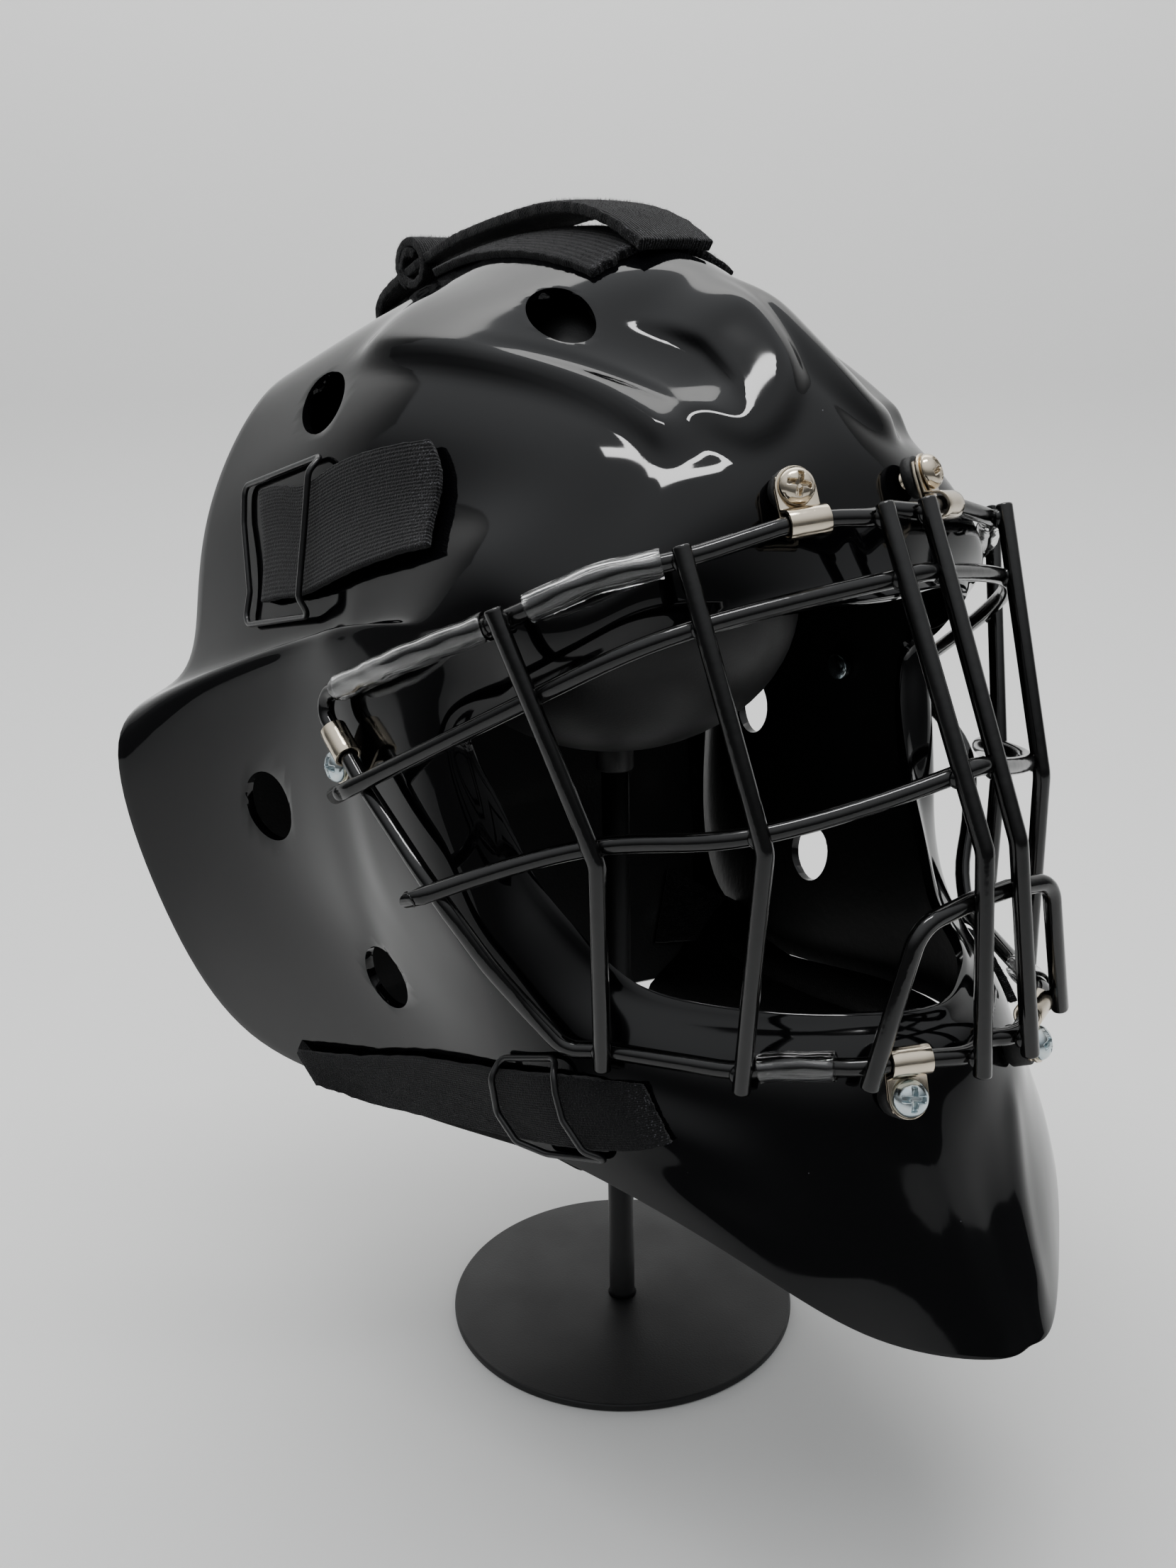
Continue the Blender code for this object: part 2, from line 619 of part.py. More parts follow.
# Clips: a strip bent round the rim, a rubber spacer under it and a screw with its nut.
for clip in CLIPS:
    spot, direction = nearest_on_rim(rim_places[clip.start].lerp(rim_places[clip.end], clip.share))
    before, _ = nearest_on_rim(spot - direction * CLIP_WIDTH / 2)
    after, _ = nearest_on_rim(spot + direction * CLIP_WIDTH / 2)
    direction = (after - before).normalized()
    wire = spot.lerp((before + after) / 2, 0.5)
    point, normal, _ = seat(clip.station, clip.place)
    for refine in range(4):
        up = (normal - direction * normal.dot(direction)).normalized()
        out = up.cross(direction).normalized()
        if out.dot(point - wire) < 0:
            out = -out
            direction = -direction
        screw_line = wire + out * CLIP_REACH
        point, normal, _ = seat_under(screw_line + up * up.dot(point - wire), clip.station, clip.place)
    reach = CLIP_REACH
    heights = [up.dot(point - wire)]
    for step in range(8):
        turn = math.tau * step / 8
        spoke = direction * math.cos(turn) + out * math.sin(turn)
        spot = screw_line + up * heights[0] + spoke * SPACER_WIDE / 2
        heights.append(up.dot(seat_under(spot, clip.station, clip.place)[0] - wire))
    floor = max(heights)
    cellar = min(heights) - SHELL_WALL / up.dot(normal)
    wrap = WIRE / 2 + CLIP_GAP + CLIP_SHEET / 2
    layers = CLIP_SHEET + GAP
    low_layer = max(-wrap, floor + 2 * GAP + CLIP_SHEET)
    high_layer = low_layer + layers
    elbow = wrap + CLIP_SHEET / 2
    path = [(reach + SPACER_WIDE * 0.3, low_layer, 0.8), (elbow, low_layer, 1.0)]
    leave = math.atan2(low_layer, elbow) - math.acos(wrap / math.hypot(elbow, low_layer))
    land = math.atan2(high_layer, elbow) + math.acos(wrap / math.hypot(elbow, high_layer)) - math.tau
    for step in range(8):
        angle = leave + (land - leave) * step / 7
        path.append((wrap * math.cos(angle), wrap * math.sin(angle), 1.0))
    path += [(elbow, high_layer, 1.0), (reach, high_layer, 1.0)]
    for angle in (35, 60, 80):
        path.append((reach + math.sin(math.radians(angle)) * CLIP_WIDTH / 2, high_layer,
                math.cos(math.radians(angle))))
    frame = Matrix((direction, out, up)).transposed().to_4x4()
    frame.translation = wire
    rows = []
    for along_out, height, share in path:
        row = [frame @ Vector((edge * share * CLIP_WIDTH / 2, along_out, height)) for edge in (-1, 1)]
        rows.append(row)
    strip = thicken(sheet("left_" + clip.name + "_clip", rows, nickel), CLIP_SHEET, 0)
    strip.modifiers["Wall"].use_even_offset = False
    strip = bake(strip)
    axis_frame = axes(wire + out * reach, direction, up)
    hole = rod_cutter(axis_frame, SCREW_SHANK + 2 * GAP, SCREW_SHANK + 2 * GAP, 0.02, ROUND_SIDES)
    strip = combine(strip, [hole], "DIFFERENCE")
    copy_to_right(strip, "right_" + clip.name + "_clip")

    spacer_top = low_layer - CLIP_SHEET / 2 - GAP
    spacer_foot = floor + 2 * GAP
    if spacer_top - spacer_foot > 0.001:
        ring = [(SCREW_SHANK / 2 + GAP, spacer_foot), (SPACER_WIDE / 2, spacer_foot),
                (SPACER_WIDE / 2, spacer_top), (SCREW_SHANK / 2 + GAP, spacer_top),
                (SCREW_SHANK / 2 + GAP, spacer_foot)]
        spacer = spun("left_" + clip.name + "_spacer", ring, ROUND_SIDES, rubber)
        spacer.data.transform(axis_frame)
        copy_to_right(spacer, "right_" + clip.name + "_spacer")

    head = high_layer + CLIP_SHEET / 2 + GAP
    nut = cellar - 2 * GAP
    profile = [(0, nut - NUT_THICK), (SCREW_NUT / 2, nut - NUT_THICK), (SCREW_NUT / 2, nut),
            (SCREW_SHANK / 2, nut), (SCREW_SHANK / 2, head)]
    profile += [(SCREW_HEAD / 2, head), (SCREW_HEAD / 2, head + 0.2 * SCREW_HEAD_HIGH),
            (SCREW_HEAD * 0.4, head + 0.7 * SCREW_HEAD_HIGH)]
    profile += [(SCREW_HEAD * 0.22, head + 0.95 * SCREW_HEAD_HIGH), (0, head + SCREW_HEAD_HIGH)]
    screw = spun("left_" + clip.name + "_screw", profile, ROUND_SIDES,
            nickel if clip.name == "top" else zinc)
    screw.data.transform(axis_frame)
    copy_to_right(screw, "right_" + clip.name + "_screw")

    for side in (1, -1):
        place = axes(Vector((side * axis_frame.translation.x, axis_frame.translation.y,
                axis_frame.translation.z)), Vector((side * direction.x, direction.y, direction.z)),
                Vector((side * up.x, up.y, up.z)))
        bore = SCREW_SHANK + 4 * GAP
        cutters.append(rod_cutter(place, bore, bore, 0.02, ROUND_SIDES))


def band_rows(bands, columns):
    """Rows of points across a strap that lies on the shell."""
    rows = []
    for band in bands:
        row = []
        for column in range(columns + 1):
            share = column / columns
            station = band.station_top + (band.station_low - band.station_top) * share
            place = band.place_top + (band.place_low - band.place_top) * share
            point, normal, _ = seat(station, place)
            row.append(point + normal * (STRAP_LIFT + band.lift + STRAP_THICK / 2))
        rows.append(row)
    return rows


def ring_over(name, spots):
    """A plastic frame: a closed bar through places on the shell, each with its height over the skin."""
    points = []
    for station, place, lift in spots:
        point, normal, _ = seat(station, place)
        points.append(point + normal * (lift + FRAME_BAR / 2))
    return tube(name, rounded_run(points, [0.004] * len(points), closed=True), FRAME_BAR / 2,
            frame_plastic, closed=True, level=BAR_LEVEL)


def plate_point(height, share):
    """The middle of the back plate's wall at a height share and a share of its half width."""
    heights = [row.height for row in PLATE_ROWS[::-1]]
    half_width = np.interp(height, heights, [row.half_width for row in PLATE_ROWS[::-1]])
    depth = np.interp(height, heights, [row.depth for row in PLATE_ROWS[::-1]])
    point = at((half_width * share, depth, height))
    point.y -= PLATE_DISH * share * share * half_width / 76
    return point


def plate_front(height, share):
    """Just in front of the back plate."""
    return plate_point(height, share) - Vector((0,
            PLATE_WALL / 2 * PLATE_SLANT + STRAP_THICK / 2 + STRAP_SEAT, 0))


# Side straps: the free end lies on the shell, the other end dives through a slot to the back plate.
dive = SIDE_STRAP[-1]
rows = band_rows(SIDE_STRAP, 4)
edge_top, normal_top, _ = seat(dive.station_top, dive.place_top)
edge_low, normal_low, _ = seat(dive.station_low, dive.place_low)
for advance, depth in ((0.0030, 0.3), (0.0046, 1.0), (0.0046, 2.4)):
    row = []
    for column in range(5):
        share = column / 4
        station = dive.station_top + (dive.station_low - dive.station_top) * share
        place = dive.place_top + (dive.place_low - dive.place_top) * share
        point, normal, around = seat(station, place)
        back = around.cross(normal)
        backwards = back if back.y > 0 else -back
        row.append(point + backwards * advance - normal * (depth * SHELL_WALL - STRAP_THICK * 0.3))
    rows.append(row)
rows.append([plate_front((point.z - CHIN_Z) / HEIGHT * 100, SIDE_STRAP_END) for point in rows[-1]])
side_strap = thicken(sheet("left_side_strap", rows, webbing), STRAP_THICK, 0)
side_strap.modifiers["Wall"].use_even_offset = False
side_strap = bake(side_strap)
copy_to_right(side_strap, "right_side_strap")
middle_station = (dive.station_top + dive.station_low) / 2
middle_place = (dive.place_top + dive.place_low) / 2
for side in (1, -1):
    point, normal, around = seat(side * middle_station, middle_place)
    run = (edge_top - edge_low)
    run = Vector((side * run.x, run.y, run.z))
    back = normal.cross(run).normalized()
    if back.y < 0:
        back = -back
    frame = axes(point + back * 0.0046, run, normal)
    cutters.append(box_cutter(frame, (run.length + 8 * GAP + 0.002, SLOT_LONG, 0.020)))
over = STRAP_LIFT + STRAP_THICK + 2 * GAP
side_ring = ring_over("left_side_frame", [
    (10.78, 4.44, STRAP_LIFT), (10.60, 4.38, over + 0.0012), (10.30, 4.29, over + 0.0015),
            (10.00, 4.20, over + 0.0015),
    (9.70, 4.11, over + 0.0014), (9.46, 4.05, over + 0.0012), (9.30, 4.02, STRAP_LIFT),
    (9.40, 5.14, STRAP_LIFT), (9.70, 5.18, STRAP_LIFT), (10.40, 5.36, STRAP_LIFT),
            (10.80, 5.42, STRAP_LIFT),
])
copy_to_right(side_ring, "right_side_frame")

# Jaw straps: along the jaw's edge and round it.
turn_top, turn_low = [at(shares) for shares in JAW_TURN]
end_top, end_low = [plate_front(height, share) for share, height in JAW_STRAP_END]
rows = band_rows(JAW_STRAP, 4)
rows.append([turn_top.lerp(turn_low, column / 4) for column in range(5)])
rows.append([end_top.lerp(end_low, column / 4) for column in range(5)])
jaw_strap = thicken(sheet("left_jaw_strap", rows, webbing), STRAP_THICK, 0)
jaw_strap.modifiers["Wall"].use_even_offset = False
jaw_strap = bake(jaw_strap)
copy_to_right(jaw_strap, "right_jaw_strap")
jaw_ring = ring_over("left_jaw_frame", [
    (4.12, 2.34, STRAP_LIFT), (4.02, 2.62, over + 0.0012), (3.93, 3.05, over + 0.0016),
            (3.81, 3.65, over + 0.0018),
    (3.66, 4.42, over + 0.0014), (3.56, 4.74, STRAP_LIFT), (3.94, 5.82, STRAP_LIFT),
            (4.06, 5.46, over + 0.0010),
    (4.22, 4.60, over + 0.0012), (4.40, 3.60, over + 0.0010), (4.50, 3.22, STRAP_LIFT),
])
copy_to_right(jaw_ring, "right_jaw_frame")

# Top strap: arched over the crown, then over the shell's rear edge.
line = [at((0, depth, height)) for depth, height in TOP_STRAP]
for height in TOP_STRAP_END:
    line.append(plate_point(height, 0) + Vector((0,
            PLATE_WALL / 2 * PLATE_SLANT + STRAP_THICK / 2 + STRAP_SEAT, 0)))
rows = [[point + Vector((edge * TOP_STRAP_WIDE / 2, 0, 0)) for edge in (-1, 0, 1)] for point in line]
top_strap = bake(thicken(sheet("top_strap", rows, webbing), STRAP_THICK, 0))

# Back plate: a dished plate inside the shell's rear opening.
rows = []
for row in PLATE_ROWS:
    rows.append([plate_point(row.height, column / 3 - 1) for column in range(7)])
plate = bake(thicken(sheet("back_plate", rows, plate_plastic), PLATE_WALL, 0))

# The shell's holes, all cut at once.
shell = combine(bake(shell), cutters, "DIFFERENCE")

# The stand: disc, post and a plain dome that the crown rests on.
crown = seat(LAST_STATION, 4.35)[0].z - SHELL_WALL - DOME_GAP
disc = spun("stand_disc", [(0, 0), (DISC_RADIUS - 0.0006, 0), (DISC_RADIUS, 0.0006), (DISC_RADIUS,
        DISC_THICK - 0.0006), (DISC_RADIUS - 0.0006, DISC_THICK), (0, DISC_THICK)], STAND_SIDES,
        stand_black)
under = DOME_MID_Z - DOME_UNDER
post = spun("stand_post", [(0, DISC_THICK + GAP), (POST_RADIUS, DISC_THICK + GAP), (POST_RADIUS,
        under - COLLAR_HIGH - GAP), (0, under - COLLAR_HIGH - GAP)], ROUND_SIDES, stand_black)
profile = [(0, under - COLLAR_HIGH), (COLLAR_RADIUS, under - COLLAR_HIGH), (COLLAR_RADIUS, under + 0.001)]
for step in range(1, 5):
    angle = math.radians(-90 + step * 22.5)
    profile.append((DOME_RADIUS * math.cos(angle), DOME_MID_Z + DOME_UNDER * math.sin(angle)))
for step in range(1, 6):
    angle = math.radians(step * 18)
    profile.append((DOME_RADIUS * math.cos(angle), DOME_MID_Z + (crown - DOME_MID_Z) * math.sin(angle)))
profile[-1] = (0, crown)
spun("stand_dome", profile, DOME_SIDES, stand_black)
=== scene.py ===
# %% [markdown]
# # A goalkeeper's mask on a display stand
#
# This notebook dresses a finished CAD model. The CAD gives the sizes, and each cell here
# replaces a coarse solid with the surface that the eye expects: deep black gloss on the shell,
# enamelled wire, nickel clips, napped webbing and a satin stand.

# %% Tools and the fixed frame
import math
from collections import namedtuple

import bmesh
import bpy
import numpy as np
from mathutils import Matrix, Vector
from mathutils import noise as mathutils_noise
from mathutils.kdtree import KDTree


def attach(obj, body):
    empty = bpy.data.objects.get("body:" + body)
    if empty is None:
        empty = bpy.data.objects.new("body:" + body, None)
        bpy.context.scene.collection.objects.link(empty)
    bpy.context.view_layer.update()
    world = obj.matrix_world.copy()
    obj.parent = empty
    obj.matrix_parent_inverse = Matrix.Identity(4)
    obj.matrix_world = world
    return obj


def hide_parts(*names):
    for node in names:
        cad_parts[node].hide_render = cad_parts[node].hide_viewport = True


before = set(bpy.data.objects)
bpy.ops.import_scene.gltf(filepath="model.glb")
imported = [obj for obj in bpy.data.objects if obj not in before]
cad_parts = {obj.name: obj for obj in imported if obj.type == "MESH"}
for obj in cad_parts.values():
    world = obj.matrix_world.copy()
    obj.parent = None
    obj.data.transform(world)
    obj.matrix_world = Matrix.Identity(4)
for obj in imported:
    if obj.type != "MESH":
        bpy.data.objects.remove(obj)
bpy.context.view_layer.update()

# %% [markdown]
# ## Places on the mask
#
# Every place is a share, in per cent, of three sizes: half the width, the depth and the height.
# The same shares drive the CAD model, so a piece made here lands where its solid is.

# %% Sizes that the CAD model is built from
HALF_WIDTH = 0.1265
DEPTH = 0.287
HEIGHT = 0.2765
SHELL_WALL = 0.003
CHIN_Y = -0.175
CHIN_Z = 0.0855
WIRE = 0.00475
WELD_BITE = 0.0011
STRAP_THICK = 0.0024
STRAP_LIFT = 0.0009
PLATE_WALL = 0.0035


def at(shares):
    """The point in metres that three shares name."""
    return Vector((shares[0] / 100 * HALF_WIDTH, CHIN_Y + shares[1] / 100 * DEPTH, CHIN_Z + shares[2] / 100 * HEIGHT))


def mirrored(point):
    return Vector((-point.x, point.y, point.z))


print("chin tip", at((0, 0, 0)), "crown", at((0, 75.8, 100)))

# %% [markdown]
# ## Small helpers for colours and nodes
#
# Colours are written as the sRGB hex values that a painter would pick, and turned to the linear
# values that a shader works in. One function adds a node, sets it and links it.


# %% Colour and node helpers
def hex_colour(text):
    """An sRGB hex value as linear red, green, blue and alpha."""
    parts = [int(text[index:index + 2], 16) / 255 for index in (1, 3, 5)]
    return (*[part / 12.92 if part <= 0.04045 else ((part + 0.055) / 1.055) ** 2.4 for part in parts], 1.0)


def new_material(name, colour, roughness, **shader_values):
    """A Principled material with its colour and roughness set on the shader itself."""
    material = bpy.data.materials.new(name)
    material.use_nodes = True
    shader = material.node_tree.nodes["Principled BSDF"]
    shader.inputs["Base Color"].default_value = hex_colour(colour)
    shader.inputs["Roughness"].default_value = roughness
    for socket, value in shader_values.items():
        shader.inputs[socket.replace("_", " ")].default_value = value
    return material


def add_node(material, kind, settings=(), links=()):
    """Add one node: settings go on its properties or inputs, links come from other nodes."""
    tree = material.node_tree
    node = tree.nodes.new(kind)
    for key, value in dict(settings).items():
        if isinstance(key, str) and hasattr(node, key):
            setattr(node, key, value)
        else:
            node.inputs[key].default_value = value
    for socket, source in dict(links).items():
        tree.links.new(source, node.inputs[socket])
    return node


def feed(material, socket, source):
    """Link a node's output to a socket of the material's shader."""
    material.node_tree.links.new(source, material.node_tree.nodes["Principled BSDF"].inputs[socket])


print("shell black", [round(part, 4) for part in hex_colour("#050506")[:3]])

# %% [markdown]
# ## Small helpers for meshes
#
# Meshes are made with bmesh and handed over by one function, which sets smooth shading, lets
# the piece ride on the mask's only body and hides the CAD nodes that it stands for.


# %% Mesh helpers
def hand_over(name, bm, materials, replaces=()):
    """Turn a bmesh into a piece that rides on the mask."""
    mesh = bpy.data.meshes.new(name)
    bm.to_mesh(mesh)
    bm.free()
    for material in materials:
        mesh.materials.append(material)
    for face in mesh.polygons:
        face.use_smooth = True
    piece = bpy.data.objects.new(name, mesh)
    bpy.context.scene.collection.objects.link(piece)
    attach(piece, "root")
    if replaces:
        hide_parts(*replaces)
    return piece


def modified(piece):
    """Bake a piece's modifiers into its mesh."""
    bpy.context.view_layer.update()
    graph = bpy.context.evaluated_depsgraph_get()
    mesh = bpy.data.meshes.new_from_object(piece.evaluated_get(graph))
    piece.modifiers.clear()
    piece.data = mesh
    return piece


def wall(piece, thickness, offset, even=True):
    solid = piece.modifiers.new("Wall", "SOLIDIFY")
    solid.thickness = thickness
    solid.offset = offset
    solid.use_even_offset = even
    return solid


def round_edges(piece, width, segments=2, angle=40):
    bevel = piece.modifiers.new("Edges", "BEVEL")
    bevel.width = width
    bevel.segments = segments
    bevel.limit_method = "ANGLE"
    bevel.angle_limit = math.radians(angle)
    bevel.use_clamp_overlap = True
    return bevel


def other_side(bm):
    """A copy of a bmesh on the other side, with its faces turned out again."""
    copy = bm.copy()
    bmesh.ops.transform(copy, matrix=Matrix.Diagonal((-1, 1, 1, 1)), verts=copy.verts)
    bmesh.ops.reverse_faces(copy, faces=copy.faces)
    return copy


def sheet(points, closed=False):
    """A grid of quads pulled onto a table of points, with the grid's own UV map."""
    points = np.array([[tuple(point) for point in row] for row in points])
    rows, columns = points.shape[:2]
    last_row = rows if closed else rows - 1
    bm = bmesh.new()
    bm.loops.layers.uv.new("UVMap")
    bmesh.ops.create_grid(bm, x_segments=columns - 1, y_segments=last_row, size=1, calc_uvs=True)
    for vert in bm.verts:
        column = round((vert.co.x + 1) / 2 * (columns - 1))
        row = round((vert.co.y + 1) / 2 * last_row)
        vert.co = points[row % rows][column]
    if closed:
        bmesh.ops.remove_doubles(bm, verts=bm.verts, dist=1e-7)
    return bm


def rod(points, radius, closed=False, level=6):
    """A round rod along a run of points, as a bmesh: a bevelled curve turned into a mesh."""
    curve = bpy.data.curves.new("run", "CURVE")
    curve.dimensions = "3D"
    curve.bevel_depth = 1.0
    curve.bevel_resolution = level
    curve.use_fill_caps = True
    curve.twist_mode = "MINIMUM"
    run = curve.splines.new("POLY")
    run.points.add(len(points) - 1)
    for index, (spot, point) in enumerate(zip(run.points, points)):
        spot.co = (*point, 1.0)
        spot.radius = radius[index] if isinstance(radius, list) else radius
    run.use_cyclic_u = closed
    holder = bpy.data.objects.new("run", curve)
    bpy.context.scene.collection.objects.link(holder)
    bpy.context.view_layer.update()
    mesh = bpy.data.meshes.new_from_object(holder.evaluated_get(bpy.context.evaluated_depsgraph_get()))
    bpy.data.objects.remove(holder, do_unlink=True)
    bm = bmesh.new()
    bm.from_mesh(mesh)
    bpy.data.meshes.remove(mesh)
    bmesh.ops.remove_doubles(bm, verts=bm.verts, dist=1e-7)
    return bm


def gathered(parts):
    """Several bmeshes as one."""
    whole = bmesh.new()
    for part in parts:
        mesh = bpy.data.meshes.new("part")
        part.to_mesh(mesh)
        part.free()
        whole.from_mesh(mesh)
        bpy.data.meshes.remove(mesh)
    return whole


def turned(profile, sides):
    """A bmesh spun about Z from radius and height pairs."""
    bm = bmesh.new()
    verts = [bm.verts.new((radius, 0, height)) for radius, height in profile]
    edges = [bm.edges.new(pair) for pair in zip(verts, verts[1:])]
    turn = {"cent": (0, 0, 0), "axis": (0, 0, 1), "angle": math.tau, "steps": sides, "use_merge": True}
    bmesh.ops.spin(bm, geom=verts + edges, **turn)
    bmesh.ops.remove_doubles(bm, verts=bm.verts, dist=1e-6)
    bmesh.ops.recalc_face_normals(bm, faces=bm.faces)
    return bm


print("mesh helpers ready")

# %% [markdown]
# ## Materials
#
# Each material starts from what the real one is. The shell is sprayed gloss over resin, the
# cage is dipped enamel, the clips are plated steel, and the straps are napped nylon.

# %% Sprayed gloss on the shell
# Deep black and mirror smooth, broken only by the faint orange peel of a sprayed surface, lumps
# 9 mm wide and two hundredths of a millimetre high, by a slight haze from hands, and by dust.
gelcoat = new_material("sprayed black gloss", "#050506", 0.05, IOR=1.37)
place = add_node(gelcoat, "ShaderNodeTexCoord").outputs["Object"]
peel = add_node(gelcoat, "ShaderNodeTexNoise", {"Scale": 1 / 0.009, "Detail": 1.0}, {"Vector": place})
peel_bump = add_node(gelcoat, "ShaderNodeBump", {"Distance": 0.00002}, {"Height": peel.outputs["Fac"]})
feed(gelcoat, "Normal", peel_bump.outputs["Normal"])
hands = add_node(gelcoat, "ShaderNodeTexNoise", {"Scale": 1 / 0.045, "Detail": 5.0}, {"Vector": place})
span = {"From Min": 0.35, "From Max": 0.7, "To Min": 0.035, "To Max": 0.09}
haze = add_node(gelcoat, "ShaderNodeMapRange", span, {"Value": hands.outputs["Fac"]})
feed(gelcoat, "Roughness", haze.outputs["Result"])
dust = add_node(gelcoat, "ShaderNodeTexVoronoi", {"Scale": 1 / 0.013}, {"Vector": place})
span = {"From Min": 0.010, "From Max": 0.018, "To Min": 1.0, "To Max": 0.0}
speck = add_node(gelcoat, "ShaderNodeMapRange", span, {"Value": dust.outputs["Distance"]})
shades = {"data_type": "RGBA", 6: hex_colour("#050506"), 7: hex_colour("#5c5c60")}
dusty = add_node(gelcoat, "ShaderNodeMix", shades, {0: speck.outputs["Result"]})
feed(gelcoat, "Base Color", dusty.outputs[2])
print("gloss ready")

# %% Painted inside and black foam
# The inside of the shell is bare laminate brushed with dull black, so that nothing glints in
# the wearer's eye. The foam is dull as well, with open cells half a millimetre wide.
inner_paint = new_material("brushed black inside", "#040404", 0.6, Specular_IOR_Level=0.25)
place = add_node(inner_paint, "ShaderNodeTexCoord").outputs["Object"]
brushed = add_node(inner_paint, "ShaderNodeTexNoise", {"Scale": 1 / 0.003, "Detail": 4.0}, {"Vector": place})
brush_bump = add_node(inner_paint, "ShaderNodeBump", {"Distance": 0.0002}, {"Height": brushed.outputs["Fac"]})
feed(inner_paint, "Normal", brush_bump.outputs["Normal"])
foam = new_material("black foam rubber", "#050505", 0.9, Specular_IOR_Level=0.15)
place = add_node(foam, "ShaderNodeTexCoord").outputs["Object"]
cells = add_node(foam, "ShaderNodeTexVoronoi", {"Scale": 1 / 0.0006}, {"Vector": place})
cell_bump = add_node(foam, "ShaderNodeBump", {"Distance": 0.0002}, {"Height": cells.outputs["Distance"]})
feed(foam, "Normal", cell_bump.outputs["Normal"])
print("inside ready")

# %% Enamel and powder coat
# The enamel on the wires is dipped, so it is glossy and runs a little, in waves 4 mm long. The
# powder coat on the stand is satin, with a fine even grain 0.7 mm wide.
enamel = new_material("dipped black enamel", "#050505", 0.12, IOR=1.5)
place = add_node(enamel, "ShaderNodeTexCoord").outputs["Object"]
runs = add_node(enamel, "ShaderNodeTexNoise", {"Scale": 1 / 0.004, "Detail": 2.0}, {"Vector": place})
run_bump = add_node(enamel, "ShaderNodeBump", {"Distance": 0.00008}, {"Height": runs.outputs["Fac"]})
feed(enamel, "Normal", run_bump.outputs["Normal"])
worn = add_node(enamel, "ShaderNodeTexNoise", {"Scale": 1 / 0.012, "Detail": 4.0}, {"Vector": place})
span = {"From Min": 0.3, "From Max": 0.7, "To Min": 0.07, "To Max": 0.20}
dulled = add_node(enamel, "ShaderNodeMapRange", span, {"Value": worn.outputs["Fac"]})
feed(enamel, "Roughness", dulled.outputs["Result"])
powder_coat = new_material("black powder coat", "#0a0a0b", 0.5, Specular_IOR_Level=0.4)
place = add_node(powder_coat, "ShaderNodeTexCoord").outputs["Object"]
grain = add_node(powder_coat, "ShaderNodeTexNoise", {"Scale": 1 / 0.0007, "Detail": 2.0}, {"Vector": place})
grain_bump = add_node(powder_coat, "ShaderNodeBump", {"Distance": 0.00005}, {"Height": grain.outputs["Fac"]})
feed(powder_coat, "Normal", grain_bump.outputs["Normal"])
cloud = add_node(powder_coat, "ShaderNodeTexNoise", {"Scale": 1 / 0.03, "Detail": 5.0}, {"Vector": place})
span = {"From Min": 0.3, "From Max": 0.7, "To Min": 0.40, "To Max": 0.56}
satin = add_node(powder_coat, "ShaderNodeMapRange", span, {"Value": cloud.outputs["Fac"]})
feed(powder_coat, "Roughness", satin.outputs["Result"])
print("paints ready")

# %% Nickel and zinc plate
# Nickel is a warm white metal with the fine lines of rolled sheet, a tenth of a millimetre
# apart. Zinc is cold, with a faint blotch of blue from its passivation.
nickel = new_material("nickel-plated steel", "#d8ccb8", 0.16, Metallic=1.0)
place = add_node(nickel, "ShaderNodeTexCoord").outputs["Object"]
drawn = add_node(nickel, "ShaderNodeMapping", {"Scale": (9000, 600, 600)}, {"Vector": place})
lines = add_node(nickel, "ShaderNodeTexNoise", {"Scale": 1.0, "Detail": 2.0}, {"Vector": drawn.outputs["Vector"]})
line_bump = add_node(nickel, "ShaderNodeBump", {"Distance": 0.00001}, {"Height": lines.outputs["Fac"]})
feed(nickel, "Normal", line_bump.outputs["Normal"])
smear = add_node(nickel, "ShaderNodeTexNoise", {"Scale": 1 / 0.003, "Detail": 4.0}, {"Vector": place})
span = {"From Min": 0.3, "From Max": 0.7, "To Min": 0.08, "To Max": 0.22}
smeared = add_node(nickel, "ShaderNodeMapRange", span, {"Value": smear.outputs["Fac"]})
feed(nickel, "Roughness", smeared.outputs["Result"])
zinc = new_material("zinc-plated steel", "#c9d3da", 0.2, Metallic=1.0)
place = add_node(zinc, "ShaderNodeTexCoord").outputs["Object"]
blotch = add_node(zinc, "ShaderNodeTexNoise", {"Scale": 1 / 0.0025, "Detail": 3.0}, {"Vector": place})
shades = {"data_type": "RGBA", 6: hex_colour("#9fbccb"), 7: hex_colour("#e6e6e0")}
tint = add_node(zinc, "ShaderNodeMix", shades, {0: blotch.outputs["Fac"]})
feed(zinc, "Base Color", tint.outputs[2])
pitted = add_node(zinc, "ShaderNodeTexNoise", {"Scale": 1 / 0.0009, "Detail": 3.0}, {"Vector": place})
pit_bump = add_node(zinc, "ShaderNodeBump", {"Distance": 0.00002}, {"Height": pitted.outputs["Fac"]})
feed(zinc, "Normal", pit_bump.outputs["Normal"])
print("plating ready")

